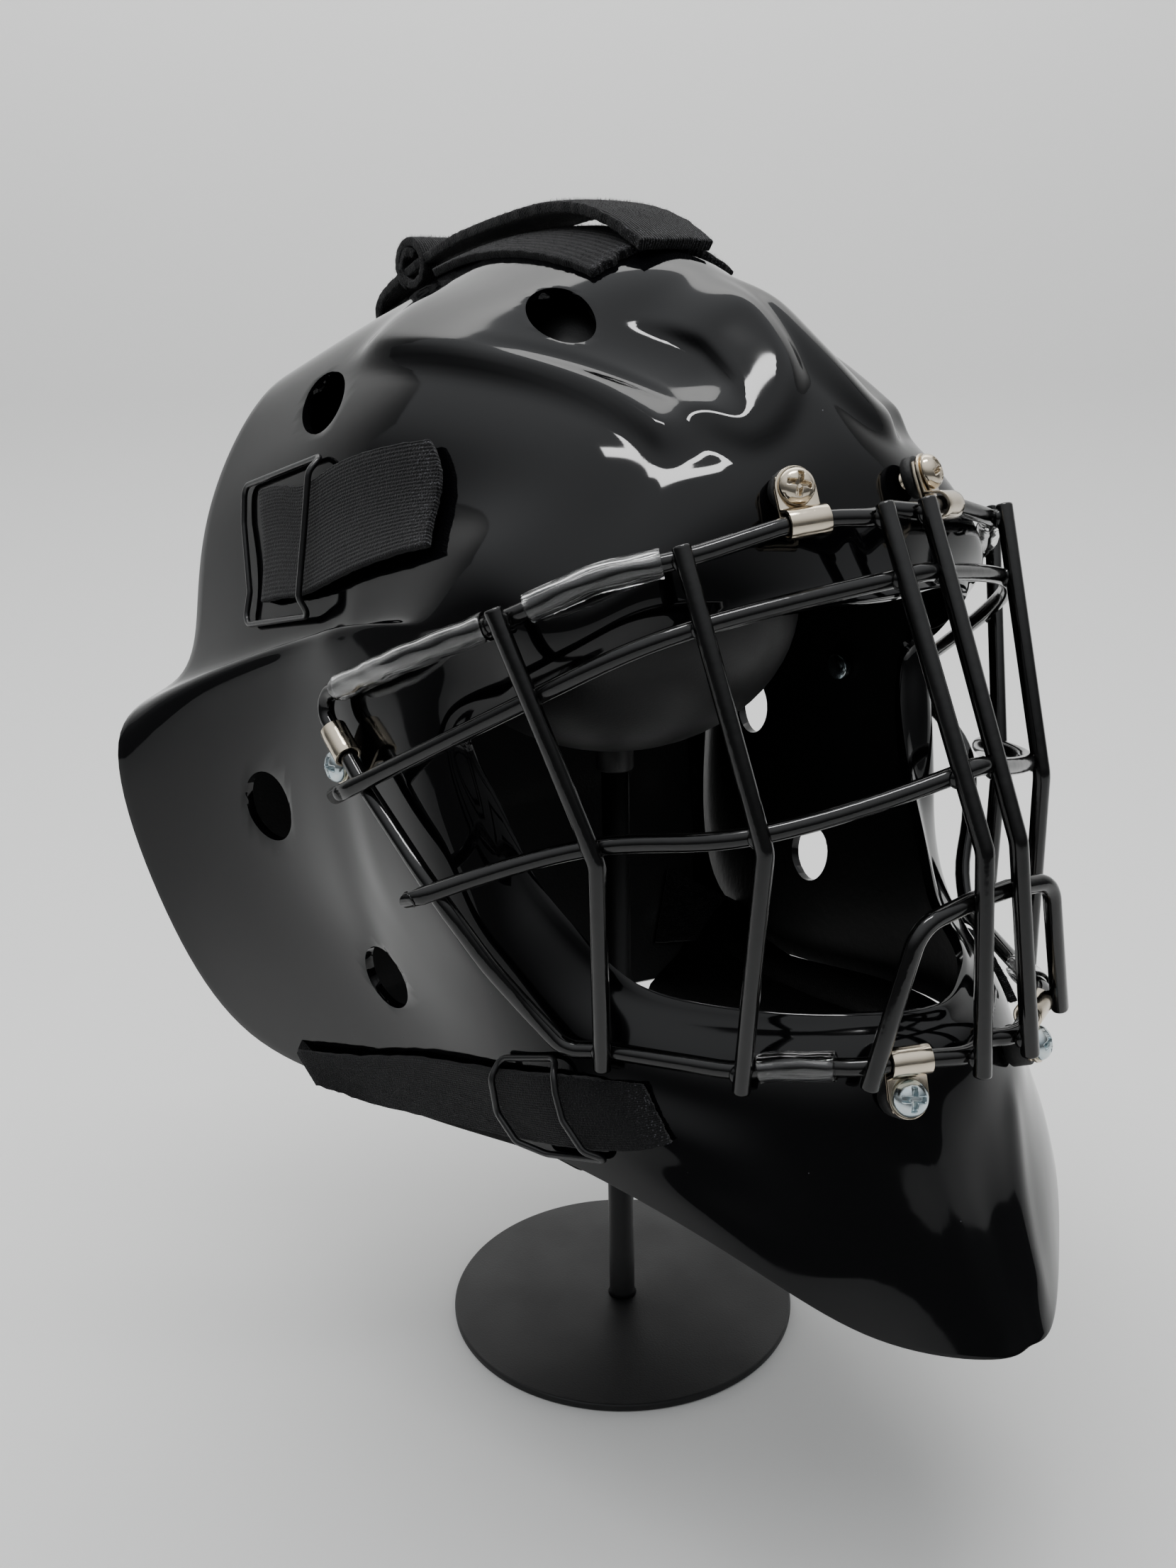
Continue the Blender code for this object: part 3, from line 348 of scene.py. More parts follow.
# %% Vinyl, rubber and moulded plastic
# Clear vinyl shows the black wire behind it and catches bright streaks along its length. The
# rubber is dull, and the moulded plastics have the fine grain of an etched mould.
vinyl = new_material("clear vinyl", "#fdfdfd", 0.02, Transmission_Weight=1.0, IOR=1.38)
place = add_node(vinyl, "ShaderNodeTexCoord").outputs["Object"]
rippled = add_node(vinyl, "ShaderNodeTexNoise", {"Scale": 1 / 0.005, "Detail": 1.0}, {"Vector": place})
ripple_bump = add_node(vinyl, "ShaderNodeBump", {"Distance": 0.00005}, {"Height": rippled.outputs["Fac"]})
feed(vinyl, "Normal", ripple_bump.outputs["Normal"])
rubber = new_material("black rubber", "#080808", 0.62)
place = add_node(rubber, "ShaderNodeTexCoord").outputs["Object"]
scuffs = add_node(rubber, "ShaderNodeTexNoise", {"Scale": 1 / 0.0008, "Detail": 2.0}, {"Vector": place})
scuff_bump = add_node(rubber, "ShaderNodeBump", {"Distance": 0.0001}, {"Height": scuffs.outputs["Fac"]})
feed(rubber, "Normal", scuff_bump.outputs["Normal"])
frame_plastic = new_material("moulded nylon", "#0c0c0d", 0.28)
place = add_node(frame_plastic, "ShaderNodeTexCoord").outputs["Object"]
etched = add_node(frame_plastic, "ShaderNodeTexNoise", {"Scale": 1 / 0.0012, "Detail": 2.0}, {"Vector": place})
etch_bump = add_node(frame_plastic, "ShaderNodeBump", {"Distance": 0.00005}, {"Height": etched.outputs["Fac"]})
feed(frame_plastic, "Normal", etch_bump.outputs["Normal"])
plate_plastic = new_material("moulded polyethylene", "#0a0a0b", 0.42, Specular_IOR_Level=0.4)
place = add_node(plate_plastic, "ShaderNodeTexCoord").outputs["Object"]
leather = add_node(plate_plastic, "ShaderNodeTexNoise", {"Scale": 1 / 0.0009, "Detail": 3.0}, {"Vector": place})
leather_bump = add_node(plate_plastic, "ShaderNodeBump", {"Distance": 0.0001}, {"Height": leather.outputs["Fac"]})
feed(plate_plastic, "Normal", leather_bump.outputs["Normal"])
print("plastics ready")

# %% Napped webbing
# The straps are woven nylon with a brushed loop face: ribs 1 mm apart along the strap, and a
# nap of fibres 0.5 mm wide. The free end of a strap is hook tape, faintly speckled.
webbing = new_material("napped nylon webbing", "#0b0b0d", 0.95, Sheen_Weight=0.12, Sheen_Roughness=0.5, Specular_IOR_Level=0.1)
place = add_node(webbing, "ShaderNodeTexCoord")
split = add_node(webbing, "ShaderNodeSeparateXYZ", {}, {"Vector": place.outputs["UV"]})
RIBS_ACROSS = 30
across = add_node(webbing, "ShaderNodeMath", {"operation": "MULTIPLY", 1: RIBS_ACROSS * math.tau}, {0: split.outputs["X"]})
ribs = add_node(webbing, "ShaderNodeMath", {"operation": "SINE"}, {0: across.outputs[0]})
rib_bump = add_node(webbing, "ShaderNodeBump", {"Distance": 0.00014}, {"Height": ribs.outputs[0]})
nap = add_node(webbing, "ShaderNodeTexNoise", {"Scale": 1 / 0.0005, "Detail": 4.0}, {"Vector": place.outputs["Object"]})
nap_links = {"Height": nap.outputs["Fac"], "Normal": rib_bump.outputs["Normal"]}
nap_bump = add_node(webbing, "ShaderNodeBump", {"Distance": 0.0006}, nap_links)
feed(webbing, "Normal", nap_bump.outputs["Normal"])
shades = {"data_type": "RGBA", 6: hex_colour("#060607"), 7: hex_colour("#151517")}
cloth = add_node(webbing, "ShaderNodeMix", shades, {0: nap.outputs["Fac"]})
hooks = add_node(webbing, "ShaderNodeTexVoronoi", {"Scale": 1 / 0.0008}, {"Vector": place.outputs["Object"]})
span = {"From Min": 0.12, "From Max": 0.30, "To Min": 1.0, "To Max": 0.0}
hook_dots = add_node(webbing, "ShaderNodeMapRange", span, {"Value": hooks.outputs["Distance"]})
span = {"From Min": 0.03, "From Max": 0.07, "To Min": 1.0, "To Max": 0.0}
hook_zone = add_node(webbing, "ShaderNodeMapRange", span, {"Value": split.outputs["Y"]})
hook_links = {0: hook_dots.outputs["Result"], 1: hook_zone.outputs["Result"]}
hook_mask = add_node(webbing, "ShaderNodeMath", {"operation": "MULTIPLY"}, hook_links)
speckled_links = {0: hook_mask.outputs[0], 6: cloth.outputs[2]}
speckled = add_node(webbing, "ShaderNodeMix", {"data_type": "RGBA", 7: hex_colour("#55555a")}, speckled_links)
feed(webbing, "Base Color", speckled.outputs[2])
print("webbing ready")

# %% Pale card
# The table and the wall are one sheet of matt card with a faint grain.
floor_paper = new_material("pale grey card", "#d2d2d1", 0.8, Specular_IOR_Level=0.3)
place = add_node(floor_paper, "ShaderNodeTexCoord").outputs["Object"]
fibres = add_node(floor_paper, "ShaderNodeTexNoise", {"Scale": 1 / 0.004, "Detail": 3.0}, {"Vector": place})
fibre_bump = add_node(floor_paper, "ShaderNodeBump", {"Distance": 0.00005}, {"Height": fibres.outputs["Fac"]})
feed(floor_paper, "Normal", fibre_bump.outputs["Normal"])
print("card ready")

# %% [markdown]
# ## The camera first
#
# The photograph was taken from a little above eye level, in front and to the wearer's right.
# The lens and place were solved from the mask's own symmetry.

# %% Camera
CAMERA_PLACE = Vector((-0.28295, -0.37833, 0.34067))
CAMERA_AHEAD = Vector((0.5580, 0.7760, -0.2940)).normalized()
CAMERA_ROLL = math.radians(-1.109)
PHOTO_WIDE = 1659
PHOTO_HIGH = 2212
FOCAL_PIXELS = 2142.4

level_right = CAMERA_AHEAD.cross(Vector((0, 0, 1))).normalized()
level_up = level_right.cross(CAMERA_AHEAD)
right = level_right * math.cos(CAMERA_ROLL) + level_up * math.sin(CAMERA_ROLL)
up = level_up * math.cos(CAMERA_ROLL) - level_right * math.sin(CAMERA_ROLL)
camera_data = bpy.data.cameras.new("camera")
camera_data.sensor_fit = "VERTICAL"
camera_data.sensor_height = 36.0
camera_data.lens = FOCAL_PIXELS / PHOTO_HIGH * 36.0
camera_data.clip_start = 0.01
camera = bpy.data.objects.new("camera", camera_data)
pose = Matrix((right, up, -CAMERA_AHEAD)).transposed().to_4x4()
pose.translation = CAMERA_PLACE
camera.matrix_world = pose
bpy.context.scene.collection.objects.link(camera)
bpy.context.scene.camera = camera
print("lens", round(camera_data.lens, 2), "mm")

# %% [markdown]
# ## The shell's skin
#
# The shell is a moulding of glass fibre and resin. Its shape is a net: fifteen sections round
# the face opening, from chin to brow, each with seven places from the lip to the outer edge.
# A smooth cubic runs through them both ways, so the gloss has no facets.

# %% Sections of one half
Section = namedtuple("Section", "name lip roll front low_mid high_mid back rim")
SECTIONS = [
    Section("chin centre", (0, 12.9, 29.6), (0, 9.6, 27.5), (0, 7.9, 22.3), (0, 7, 17.2), (0, 5.3, 11), (0, 2.6, 4.8), (0, 0, 0)),
    Section("chin corner", (13.5, 15.6, 29.6), (14.3, 11.9, 27.5), (14.3, 9.6, 23), (13.5, 7.9, 17.9), (11.3, 5.6, 11),
            (9.8, 3, 4.8), (9, 0.7, 0)),
    Section("chin side", (27.1, 20.5, 29.6), (30.1, 16.9, 26.8), (30.8, 14.2, 22.3), (30.8, 12.6, 17.9), (30.8, 10.6, 12.7),
            (30.1, 8.6, 7.6), (29.3, 7, 2.7)),
    Section("jaw front", (40.6, 28.5, 29.9), (46.6, 25.2, 26.1), (48.1, 23.5, 22.7), (49.6, 21.9, 19.6), (49.6, 20.2, 16.2),
            (49.6, 18.5, 13.1), (48.9, 16.9, 10)),
    Section("jaw", (48.1, 33.1, 32.3), (56.4, 33.1, 28.5), (59.4, 32.8, 25.1), (61.7, 33.4, 22), (63.2, 34.8, 18.9),
            (63.2, 35.8, 16.2), (63.2, 36.4, 13.4)),
    Section("jaw rear", (54.1, 37.4, 37.1), (66.2, 39.1, 33.3), (68.4, 41.7, 29.6), (67.7, 46.4, 25.1), (66.9, 52.6, 20.3),
            (67.7, 58.3, 14.8), (69.9, 62.9, 8.9)),
    Section("cheek low", (57.9, 40.7, 41.6), (71.4, 41.7, 38.8), (74.4, 47, 36.1), (73.7, 57, 32.3), (73.7, 67.5, 26.8),
            (78.2, 77.5, 18.6), (82, 85.4, 8.9)),
    Section("cheek", (61.7, 43.7, 48.5), (73.7, 43.7, 48.1), (77.4, 51, 46), (77.4, 62.6, 42.6), (79.7, 75.5, 38.8),
            (88, 86.8, 32), (95.5, 94, 25.1)),
    Section("cheek top", (65.4, 44.7, 54), (72.2, 44.7, 57.7), (74.4, 51, 61.2), (76.7, 60.9, 61.2), (78.2, 70.9, 58.4),
            (85.7, 83.4, 53.3), (100, 96.7, 45.4)),
    Section("ledge", (63.2, 41.1, 56.4), (66.8, 40.3, 61.9), (71.4, 45, 65.6), (72.2, 56, 63.9), (73.7, 69.2, 60.5),
            (76.7, 82.5, 56.4), (82, 97.4, 51.5)),
    Section("temple low", (59.4, 37.7, 58.4), (64.7, 36.1, 64.6), (64.7, 40.4, 71.5), (65.4, 52.6, 72.2), (66.9, 67.5, 71.1),
            (68.4, 81.5, 68), (72.2, 100, 60.5)),
    Section("temple", (52.6, 32.8, 61.9), (56.4, 31.1, 67.4), (49.6, 34.4, 74.9), (49.6, 42.1, 80.4), (60.2, 60.9, 81.8),
            (63.9, 80.1, 79), (66.9, 98, 72.9)),
    Section("temple high", (41.4, 27.8, 64.9), (43.6, 28.1, 71.5), (35.3, 31.8, 79), (32.3, 41.1, 85.2), (42.9, 57.6, 90.4),
            (49.6, 75.8, 89.7), (54.9, 91.7, 85.2)),
    Section("brow", (22.6, 23.5, 66.7), (24.8, 25.8, 73.5), (20.3, 29.5, 80.8), (16.5, 41.1, 89), (24.1, 54.3, 95.2),
            (29.3, 74.8, 95.5), (32.3, 93.4, 89.3)),
    Section("brow centre", (0, 20.5, 67.4), (0, 24.2, 74.2), (0, 28.5, 83.2), (0, 39.1, 93.1), (0, 54.3, 99.3),
            (0, 75.8, 100), (0, 100.7, 94.2)),
]
LAST_STATION = len(SECTIONS) - 1
LAST_PLACE = 6
print(len(SECTIONS), "sections")


# %% The smooth surface through the sections
def knot_weights(count, places, closed):
    """Weights of the knots for points on a smooth cubic through evenly spaced knots."""
    second = np.zeros((count, count))
    system = np.eye(count)
    for knot in range(count):
        if not closed and knot in (0, count - 1):
            continue
        before, after = (knot - 1) % count, (knot + 1) % count
        system[knot] = 0
        system[knot, knot] = 4
        system[knot, before] = system[knot, after] = 1
        second[knot, before] = second[knot, after] = 6
        second[knot, knot] = -12
    bend = np.linalg.solve(system, second)
    places = np.asarray(places, float)
    knots = np.floor(places).astype(int)
    if not closed:
        knots = np.clip(knots, 0, count - 2)
    part = places - knots
    rows = np.arange(len(places))
    first, following = knots % count, (knots + 1) % count
    weights = np.zeros((len(places), count))
    weights[rows, first] += 1 - part
    weights[rows, following] += part
    weights += ((1 - part) ** 3 - (1 - part))[:, None] / 6 * bend[first]
    weights += (part ** 3 - part)[:, None] / 6 * bend[following]
    return weights


KNOTS = np.array([[at(shares) for shares in section[1:]] for section in SECTIONS])
LOOP = np.concatenate([KNOTS, (KNOTS * (-1, 1, 1))[-2:0:-1]])


def skin_points(stations, places):
    """Points of the outer skin, one for each pair of station and place."""
    around = knot_weights(len(LOOP), stations, True)
    out = knot_weights(LAST_PLACE + 1, np.clip(places, 0, LAST_PLACE), False)
    return np.einsum("ni,nj,ijk->nk", around, out, LOOP, optimize=True)


def skin_normals(stations, places):
    """Outward normals of the same points."""
    step = 0.01
    low = np.clip(places - step, 0, LAST_PLACE)
    high = np.clip(places + step, 0, LAST_PLACE)
    along = skin_points(stations + step, places) - skin_points(stations - step, places)
    out = skin_points(stations, high) - skin_points(stations, low)
    normals = np.cross(out, along)
    return normals / np.linalg.norm(normals, axis=1, keepdims=True)


def seat(station, place):
    """A point on the skin, its outward normal, and the direction in which stations run."""
    step = 0.02
    stations = np.array([station, station, station, station - step, station + step])
    places = np.array([place, place - step, place + step, place, place])
    spots = skin_points(stations, places)
    around = Vector(spots[4] - spots[3]).normalized()
    normal = Vector(spots[2] - spots[1]).cross(around).normalized()
    return Vector(spots[0]), normal, around


def seat_under(target, station, place):
    """The seat nearest to a point, looked for round a rough station and place."""
    for spread in (0.8, 0.1, 0.012):
        near_stations = station + np.linspace(-spread, spread, 17)
        near_places = np.clip(place + np.linspace(-spread, spread, 17), 0, LAST_PLACE)
        grid_stations, grid_places = np.meshgrid(near_stations, near_places, indexing="ij")
        spots = skin_points(grid_stations.ravel(), grid_places.ravel())
        nearest = np.linalg.norm(spots - np.array(target), axis=1).argmin()
        station, place = grid_stations.ravel()[nearest], grid_places.ravel()[nearest]
    return seat(station, place)


print("crown of the skin", seat(LAST_STATION, 4.35)[0])

# %% [markdown]
# ## Relief on the shell
#
# The mould has stiffening forms: a brow ridge that ends in a point, a leaf-shaped groove above
# it, a raised lobe on each side of the forehead, a ledge on the cheek and an edge down the chin.
# Each is a line on the skin with a height and a width, and pushes the skin along its normal.

# %% Lines of relief on one half
# Kind "crest" is a rounded ridge, "step" lifts the side to the left of the line and fades away
# from it, and "leaf" sinks a shape that is pointed at both ends.
Relief = namedtuple("Relief", "name kind height width fade ends line")
RELIEFS = [
    Relief("forehead lobe", "step", 0.0042, 0.0085, 0.055, 0.026,
           [(14.0, 3.45), (14.0, 2.95), (13.95, 2.60), (13.80, 2.32), (13.60, 2.14), (13.35, 2.02), (12.95, 2.04),
            (12.60, 2.36), (12.42, 2.72)]),
    Relief("brow ridge", "step", 0.0052, 0.0066, 0.026, 0.012,
           [(12.06, 2.02), (11.84, 2.50), (11.72, 2.92), (11.68, 3.45), (11.68, 3.80), (11.72, 4.30), (11.80, 4.8)]),
    Relief("leaf groove", "leaf", -0.0007, 0.0030, 0.0, 0.0,
           [(11.86, 3.98), (11.93, 3.60), (12.08, 3.14), (12.30, 2.76), (12.52, 2.48)]),
    Relief("chin edge", "crest", 0.0009, 0.0034, 0.0, 0.014,
           [(1.02, 2.1), (1.0, 3.0), (0.98, 4.0), (0.97, 5.0), (1.0, 6.0)]),
    Relief("ledge lower edge", "crest", 0.0010, 0.0045, 0.0, 0.016,
           [(8.25, 6.00), (8.18, 5.4), (8.06, 4.9), (8.02, 4.2), (8.0, 3.48), (8.05, 2.8)]),
    Relief("ledge inner corner", "crest", -0.0008, 0.0060, 0.0, 0.016,
           [(9.10, 6.00), (8.95, 5.4), (8.85, 4.7), (8.80, 4.0), (8.85, 3.3)]),
]
LIP_ROLL = 0.0011
LIP_ROLL_WIDE = 0.0026


def smooth_run(points, count):
    """Evenly spaced points along a smooth run through the given points."""
    knots = np.array([tuple(point) for point in points], float)
    fine = np.linspace(0, len(knots) - 1, 40 * len(knots))
    curve = knot_weights(len(knots), fine, False) @ knots
    lengths = np.concatenate([[0], np.cumsum(np.linalg.norm(np.diff(curve, axis=0), axis=1))])
    wanted = np.linspace(0, lengths[-1], count)
    return np.stack([np.interp(wanted, lengths, curve[:, axis]) for axis in range(curve.shape[1])], axis=1)


def eased(values):
    values = np.clip(values, 0, 1)
    return values * values * (3 - 2 * values)


def relief_height(points):
    """How far each point of the skin is pushed out by the relief lines."""
    height = np.zeros(len(points))
    folded = points * (1, 1, 1)
    folded[:, 0] = np.abs(folded[:, 0])
    for relief in RELIEFS:
        places = smooth_run(relief.line, 400)
        line = skin_points(places[:, 0], places[:, 1])
        normals = skin_normals(places[:, 0], places[:, 1])
        along = np.gradient(line, axis=0)
        along /= np.linalg.norm(along, axis=1, keepdims=True)
        left = np.cross(normals, along)
        length = np.concatenate([[0], np.cumsum(np.linalg.norm(np.diff(line, axis=0), axis=1))])
        reach = max(relief.fade * 3, relief.width * 4)
        near = np.where(np.linalg.norm(folded - line.mean(axis=0), axis=1) < length[-1] / 2 + reach + 0.03)[0]
        gaps = np.linalg.norm(folded[near][:, None, :] - line[None, :, :], axis=2)
        nearest = gaps.argmin(axis=1)
        offset = folded[near] - line[nearest]
        side = np.einsum("nk,nk->n", offset, left[nearest])
        beyond = np.abs(np.einsum("nk,nk->n", offset, along[nearest]))
        from_ends = np.minimum(length[nearest], length[-1] - length[nearest])
        if relief.kind == "leaf":
            share = length[nearest] / length[-1]
            half = relief.width * np.sin(np.pi * np.clip(share, 0, 1)) ** 0.7 + 1e-6
            inside = eased((half - np.abs(side)) / 0.0018)
            push = inside * eased(1.5 - beyond / 0.001)
        elif relief.kind == "crest":
            taper = eased(from_ends / relief.ends)
            push = np.exp(-(side / relief.width) ** 2) * taper * np.exp(-(beyond / relief.width) ** 2)
        else:
            taper = eased(from_ends / relief.ends)
            rise = eased(side / relief.width + 0.5)
            push = rise * np.exp(-np.maximum(side, 0) / relief.fade) * taper * np.exp(-(beyond / 0.006) ** 2)
        height[near] += relief.height * push
    return height


print(len(RELIEFS), "lines of relief on each half")

# %% [markdown]
# ## Cutting the shell's sheet
#
# The sheet is a fine closed grid. A vent is cut by taking away the faces inside an oval and
# sliding the open edge onto the oval, which keeps the gloss clean where a Boolean would leave
# long thin faces. The wall is given its thickness after the holes.

# %% Openings in one half
Vent = namedtuple("Vent", "name station place long wide turn squareness")
VENTS = [
    Vent("cheek", 7.10, 4.05, 0.0224, 0.0224, 0, 2),
    Vent("jaw", 5.55, 3.85, 0.0204, 0.0204, 0, 2),
    Vent("temple", 11.40, 4.85, 0.0262, 0.0200, 90, 2),
    Vent("crown", 12.58, 3.72, 0.0270, 0.0160, 90, 2),
]
SHELL_ROUND = 364
SHELL_OUT = 104


def open_hole(bm, centre, x_axis, normal, long, wide, squareness):
    """Take away the faces inside an oval and slide the edge that is left onto it."""
    y_axis = normal.cross(x_axis).normalized()
    x_axis = y_axis.cross(normal)

    def polar(point):
        offset = point - centre
        across, above = offset.dot(x_axis) / (long / 2), offset.dot(y_axis) / (wide / 2)
        return (abs(across) ** squareness + abs(above) ** squareness) ** (1 / squareness), math.atan2(above, across)

    near = [face for face in bm.faces if (face.calc_center_median() - centre).length < long]
    inside = [face for face in near if polar(face.calc_center_median())[0] < 1]
    rim = {vert for face in inside for vert in face.verts}
    bmesh.ops.delete(bm, geom=inside, context="FACES")
    rim = [vert for vert in rim if vert.is_valid and vert.link_faces]
    rim.sort(key=lambda vert: polar(vert.co)[1])
    first = polar(rim[0].co)[1]
    shift = np.mean([polar(vert.co)[1] - first - math.tau * index / len(rim) for index, vert in enumerate(rim)])
    for index, vert in enumerate(rim):
        even = first + shift + math.tau * index / len(rim)
        angle = 0.25 * polar(vert.co)[1] + 0.75 * even
        reach = (abs(math.cos(angle)) ** squareness + abs(math.sin(angle)) ** squareness) ** (-1 / squareness)
        goal = centre + x_axis * math.cos(angle) * reach * long / 2 + y_axis * math.sin(angle) * reach * wide / 2
        nearest = skin_tree.find(vert.co)[1]
        station, place = grid_stations[nearest], grid_places[nearest]
        for refine in range(5):
            step = 0.01
            spots = skin_points(np.array([station, station + step, station]), np.array([place, place, place + step]))
            miss = goal - Vector(spots[0])
            pull = np.array([[Vector(spot - spots[0]).dot(axis) / step for spot in spots[1:]] for axis in (x_axis, y_axis)])
            move = np.linalg.solve(pull, [miss.dot(x_axis), miss.dot(y_axis)])
            station, place = station + move[0], place + move[1]
        vert.co = skin_points(np.array([station]), np.array([place]))[0]
    return len(rim)


print(len(VENTS), "vents in each half")

# %% The shell's fine sheet with its relief
def gathered_steps(length, count, middle, spread, extra):
    """Steps from 0 to a length that lie closer together round a middle."""
    fine = np.linspace(0, length, 4000)
    density = 1 + extra * np.exp(-((fine - middle) / spread) ** 4)
    travelled = np.concatenate([[0], np.cumsum((density[1:] + density[:-1]) / 2)])
    return np.interp(np.linspace(0, travelled[-1], count + 1), travelled, fine)


stations = gathered_steps(len(LOOP), SHELL_ROUND, LAST_STATION, 2.6, 1.3)[:-1]
places = gathered_steps(LAST_PLACE, SHELL_OUT, 2.9, 1.3, 0.9)
grid_stations, grid_places = [item.ravel() for item in np.meshgrid(stations, places, indexing="ij")]
skin = skin_points(grid_stations, grid_places)
normals = skin_normals(grid_stations, grid_places)
push = relief_height(skin).reshape(SHELL_ROUND, -1)
for softening in range(2):
    push = (np.roll(push, 1, axis=0) + 2 * push + np.roll(push, -1, axis=0)) / 4
    push[:, 1:-1] = (push[:, :-2] + 2 * push[:, 1:-1] + push[:, 2:]) / 4
push = push.ravel()
lip_distance = np.linalg.norm(skin.reshape(SHELL_ROUND, -1, 3) - skin.reshape(SHELL_ROUND, -1, 3)[:, :1], axis=2).ravel()
push += LIP_ROLL * np.exp(-((lip_distance - 0.0005) / LIP_ROLL_WIDE) ** 2)
flat_bm = sheet(skin.reshape(SHELL_ROUND, SHELL_OUT + 1, 3), closed=True)
skin_tree = KDTree(len(skin))
for index, spot in enumerate(skin):
    skin_tree.insert(spot, index)
skin_tree.balance()
print("highest relief", round(float(push.max()) * 1000, 2), "mm")

# %% Cut the vents
for vent in VENTS:
    for side in (1, -1):
        centre, normal, around = seat(vent.station * side, vent.place)
        across = Matrix.Rotation(math.radians(vent.turn), 3, normal) @ around
        count = open_hole(flat_bm, centre, across, normal, vent.long, vent.wide, vent.squareness)
    print(vent.name, "vent has", count, "points on its edge")

# %% [markdown]
# ## The wall of the shell
#
# Each vertex is pushed out by the relief at its own place. Then a Solidify modifier adds the
# 3 mm wall on the inside, with a second and duller material there, and a Bevel rounds every
# edge, because a laminated shell is sanded round before it is painted.

# %% Raise the relief, add the wall and round the edges
for vert in flat_bm.verts:
    found = skin_tree.find_n(vert.co, 4)
    weights = [1 / (distance + 1e-6) for _, _, distance in found]
    total = sum(weights)
    height = sum(push[index] * weight for (_, index, _), weight in zip(found, weights)) / total
    outward = sum((Vector(normals[index]) * weight for (_, index, _), weight in zip(found, weights)), Vector())
    vert.co += outward.normalized() * height
bmesh.ops.recalc_face_normals(flat_bm, faces=flat_bm.faces)
top_face = max(flat_bm.faces, key=lambda face: face.calc_center_median().z)
if top_face.normal.z < 0:
    bmesh.ops.reverse_faces(flat_bm, faces=flat_bm.faces)
shell = hand_over("mask_shell", flat_bm, [gelcoat, inner_paint], ["shell"])
solid = wall(shell, SHELL_WALL, -1)
solid.material_offset = 1
solid.material_offset_rim = 0
round_edges(shell, 0.0009, 3, 50)
modified(shell)
print("shell", len(shell.data.polygons), "faces")

# %% [markdown]
# ## The wire cage
#
# The cage is steel wire, bent cold, welded where two wires cross and dipped in black enamel.
# A wire is a round rod along a run of straight parts and rounded bends, so each is a bevelled
# curve turned into a mesh. The uprights stand in front of the rim and the cross wires behind.

# %% Bends, and the places of the wires
Upright = namedtuple("Upright", "name top bend foot")
UPRIGHTS = [
    Upright("inner", (5.7, 19.8, 74.9), (4.9, 6.7, 47.3), (6.9, 6.1, 28.4)),
    Upright("middle", (44.0, 25.6, 72.3), (40.4, 16.6, 48.0), (42.4, 18.8, 26.6)),
    Upright("outer", (69.2, 36.0, 66.9), (59.8, 28.5, 45.4), (57.5, 29.8, 26.4)),
]
Cross = namedtuple("Cross", "name inner middle outer side")
CROSSES = [Cross("upper", 69.8, 66.7, 60.1, 0), Cross("lower", 53.3, 49.1, 46.6, 1)]
RIM_SIDE = [(82.2, 52.1, 49.4), (81.6, 40.4, 41.9), (73.7, 37.1, 34.4), (66.9, 35.4, 29.6)]
ARCH_FOOT = (27.3, 10.0, 28.5)
ARCH_SHOULDER = (19.2, 7.8, 41.7)
ARCH_TOP = 42.6
WIRE_BEND = 0.009
CORNER_BEND = 0.005
RIM_BEND = 0.014
RIM_SWEEP = 0.060
WIRE_PAST = 0.0042


def rounded_run(points, radii, closed=False, step_degrees=6):
    """Straight runs whose corners are rounded, each with its own bend radius."""
    count = len(points)
    run = [] if closed else [points[0]]
    for corner in range(count) if closed else range(1, count - 1):
        place = points[corner]
        back = points[corner - 1] - place
        ahead = points[(corner + 1) % count] - place
        half = back.angle(ahead) / 2
        if math.pi / 2 - half < 0.01:
            run.append(place)
            continue
        reach = min(radii[corner] / math.tan(half), 0.45 * back.length, 0.45 * ahead.length)
        radius = reach * math.tan(half)
        centre = place + (back.normalized() + ahead.normalized()).normalized() * radius / math.sin(half)
        start = (place + back.normalized() * reach - centre).normalized()
        end = (place + ahead.normalized() * reach - centre).normalized()
        steps = max(2, math.ceil(math.degrees(math.pi - 2 * half) / step_degrees))
        for step in range(steps + 1):
            run.append(centre + start.slerp(end, step / steps) * radius)
    if not closed:
        run.append(points[-1])
    return run


def facing(point):
    """The level direction from the head's middle out through a point of the cage."""
    return Vector((point.x, point.y - at((0, 71, 0)).y, 0)).normalized()


def behind(point):
    return point - facing(point) * (WIRE - WELD_BITE)


def ahead_of(point):
    return point + facing(point) * (WIRE - WELD_BITE)


def along(upright, share):
    """The point of an upright at one height share."""
    ends = [ahead_of(at(upright.top)), at(upright.bend), ahead_of(at(upright.foot))]
    height = at((0, 0, share)).z
    for upper, lower in zip(ends, ends[1:]):
        if height >= lower.z:
            break
    return upper.lerp(lower, (upper.z - height) / (upper.z - lower.z))


inner, middle, outer = UPRIGHTS
rim_places = {
    "middle of the top": at((0, 21.9, 75.3)),
    "inner top": at(inner.top),
    "brow": at((19.2, 22.4, 75.1)),
    "middle top": at(middle.top),
    "temple": at((55.9, 30.0, 71.0)),
    "outer top": at(outer.top),
    "ledge": at((78.6, 46.2, 62.4)),
    "corner": at((81.4, 61.4, 55.9)),
    "side 0": at(RIM_SIDE[0]),
    "side 1": at(RIM_SIDE[1]),
    "side 2": at(RIM_SIDE[2]),
    "side 3": at(RIM_SIDE[3]),
    "low corner": at((62.1, 32.5, 25.9)),
    "outer foot": at(outer.foot),
    "middle foot": at(middle.foot),
    "jaw": at((36.8, 16.1, 27.5)),
    "arch foot": at(ARCH_FOOT),
    "chin": at((18.7, 8.6, 28.6)),
    "inner foot": at(inner.foot),
    "middle of the chin": at((0, 7.7, 28.5)),
}
print(len(rim_places), "places on half of the rim")

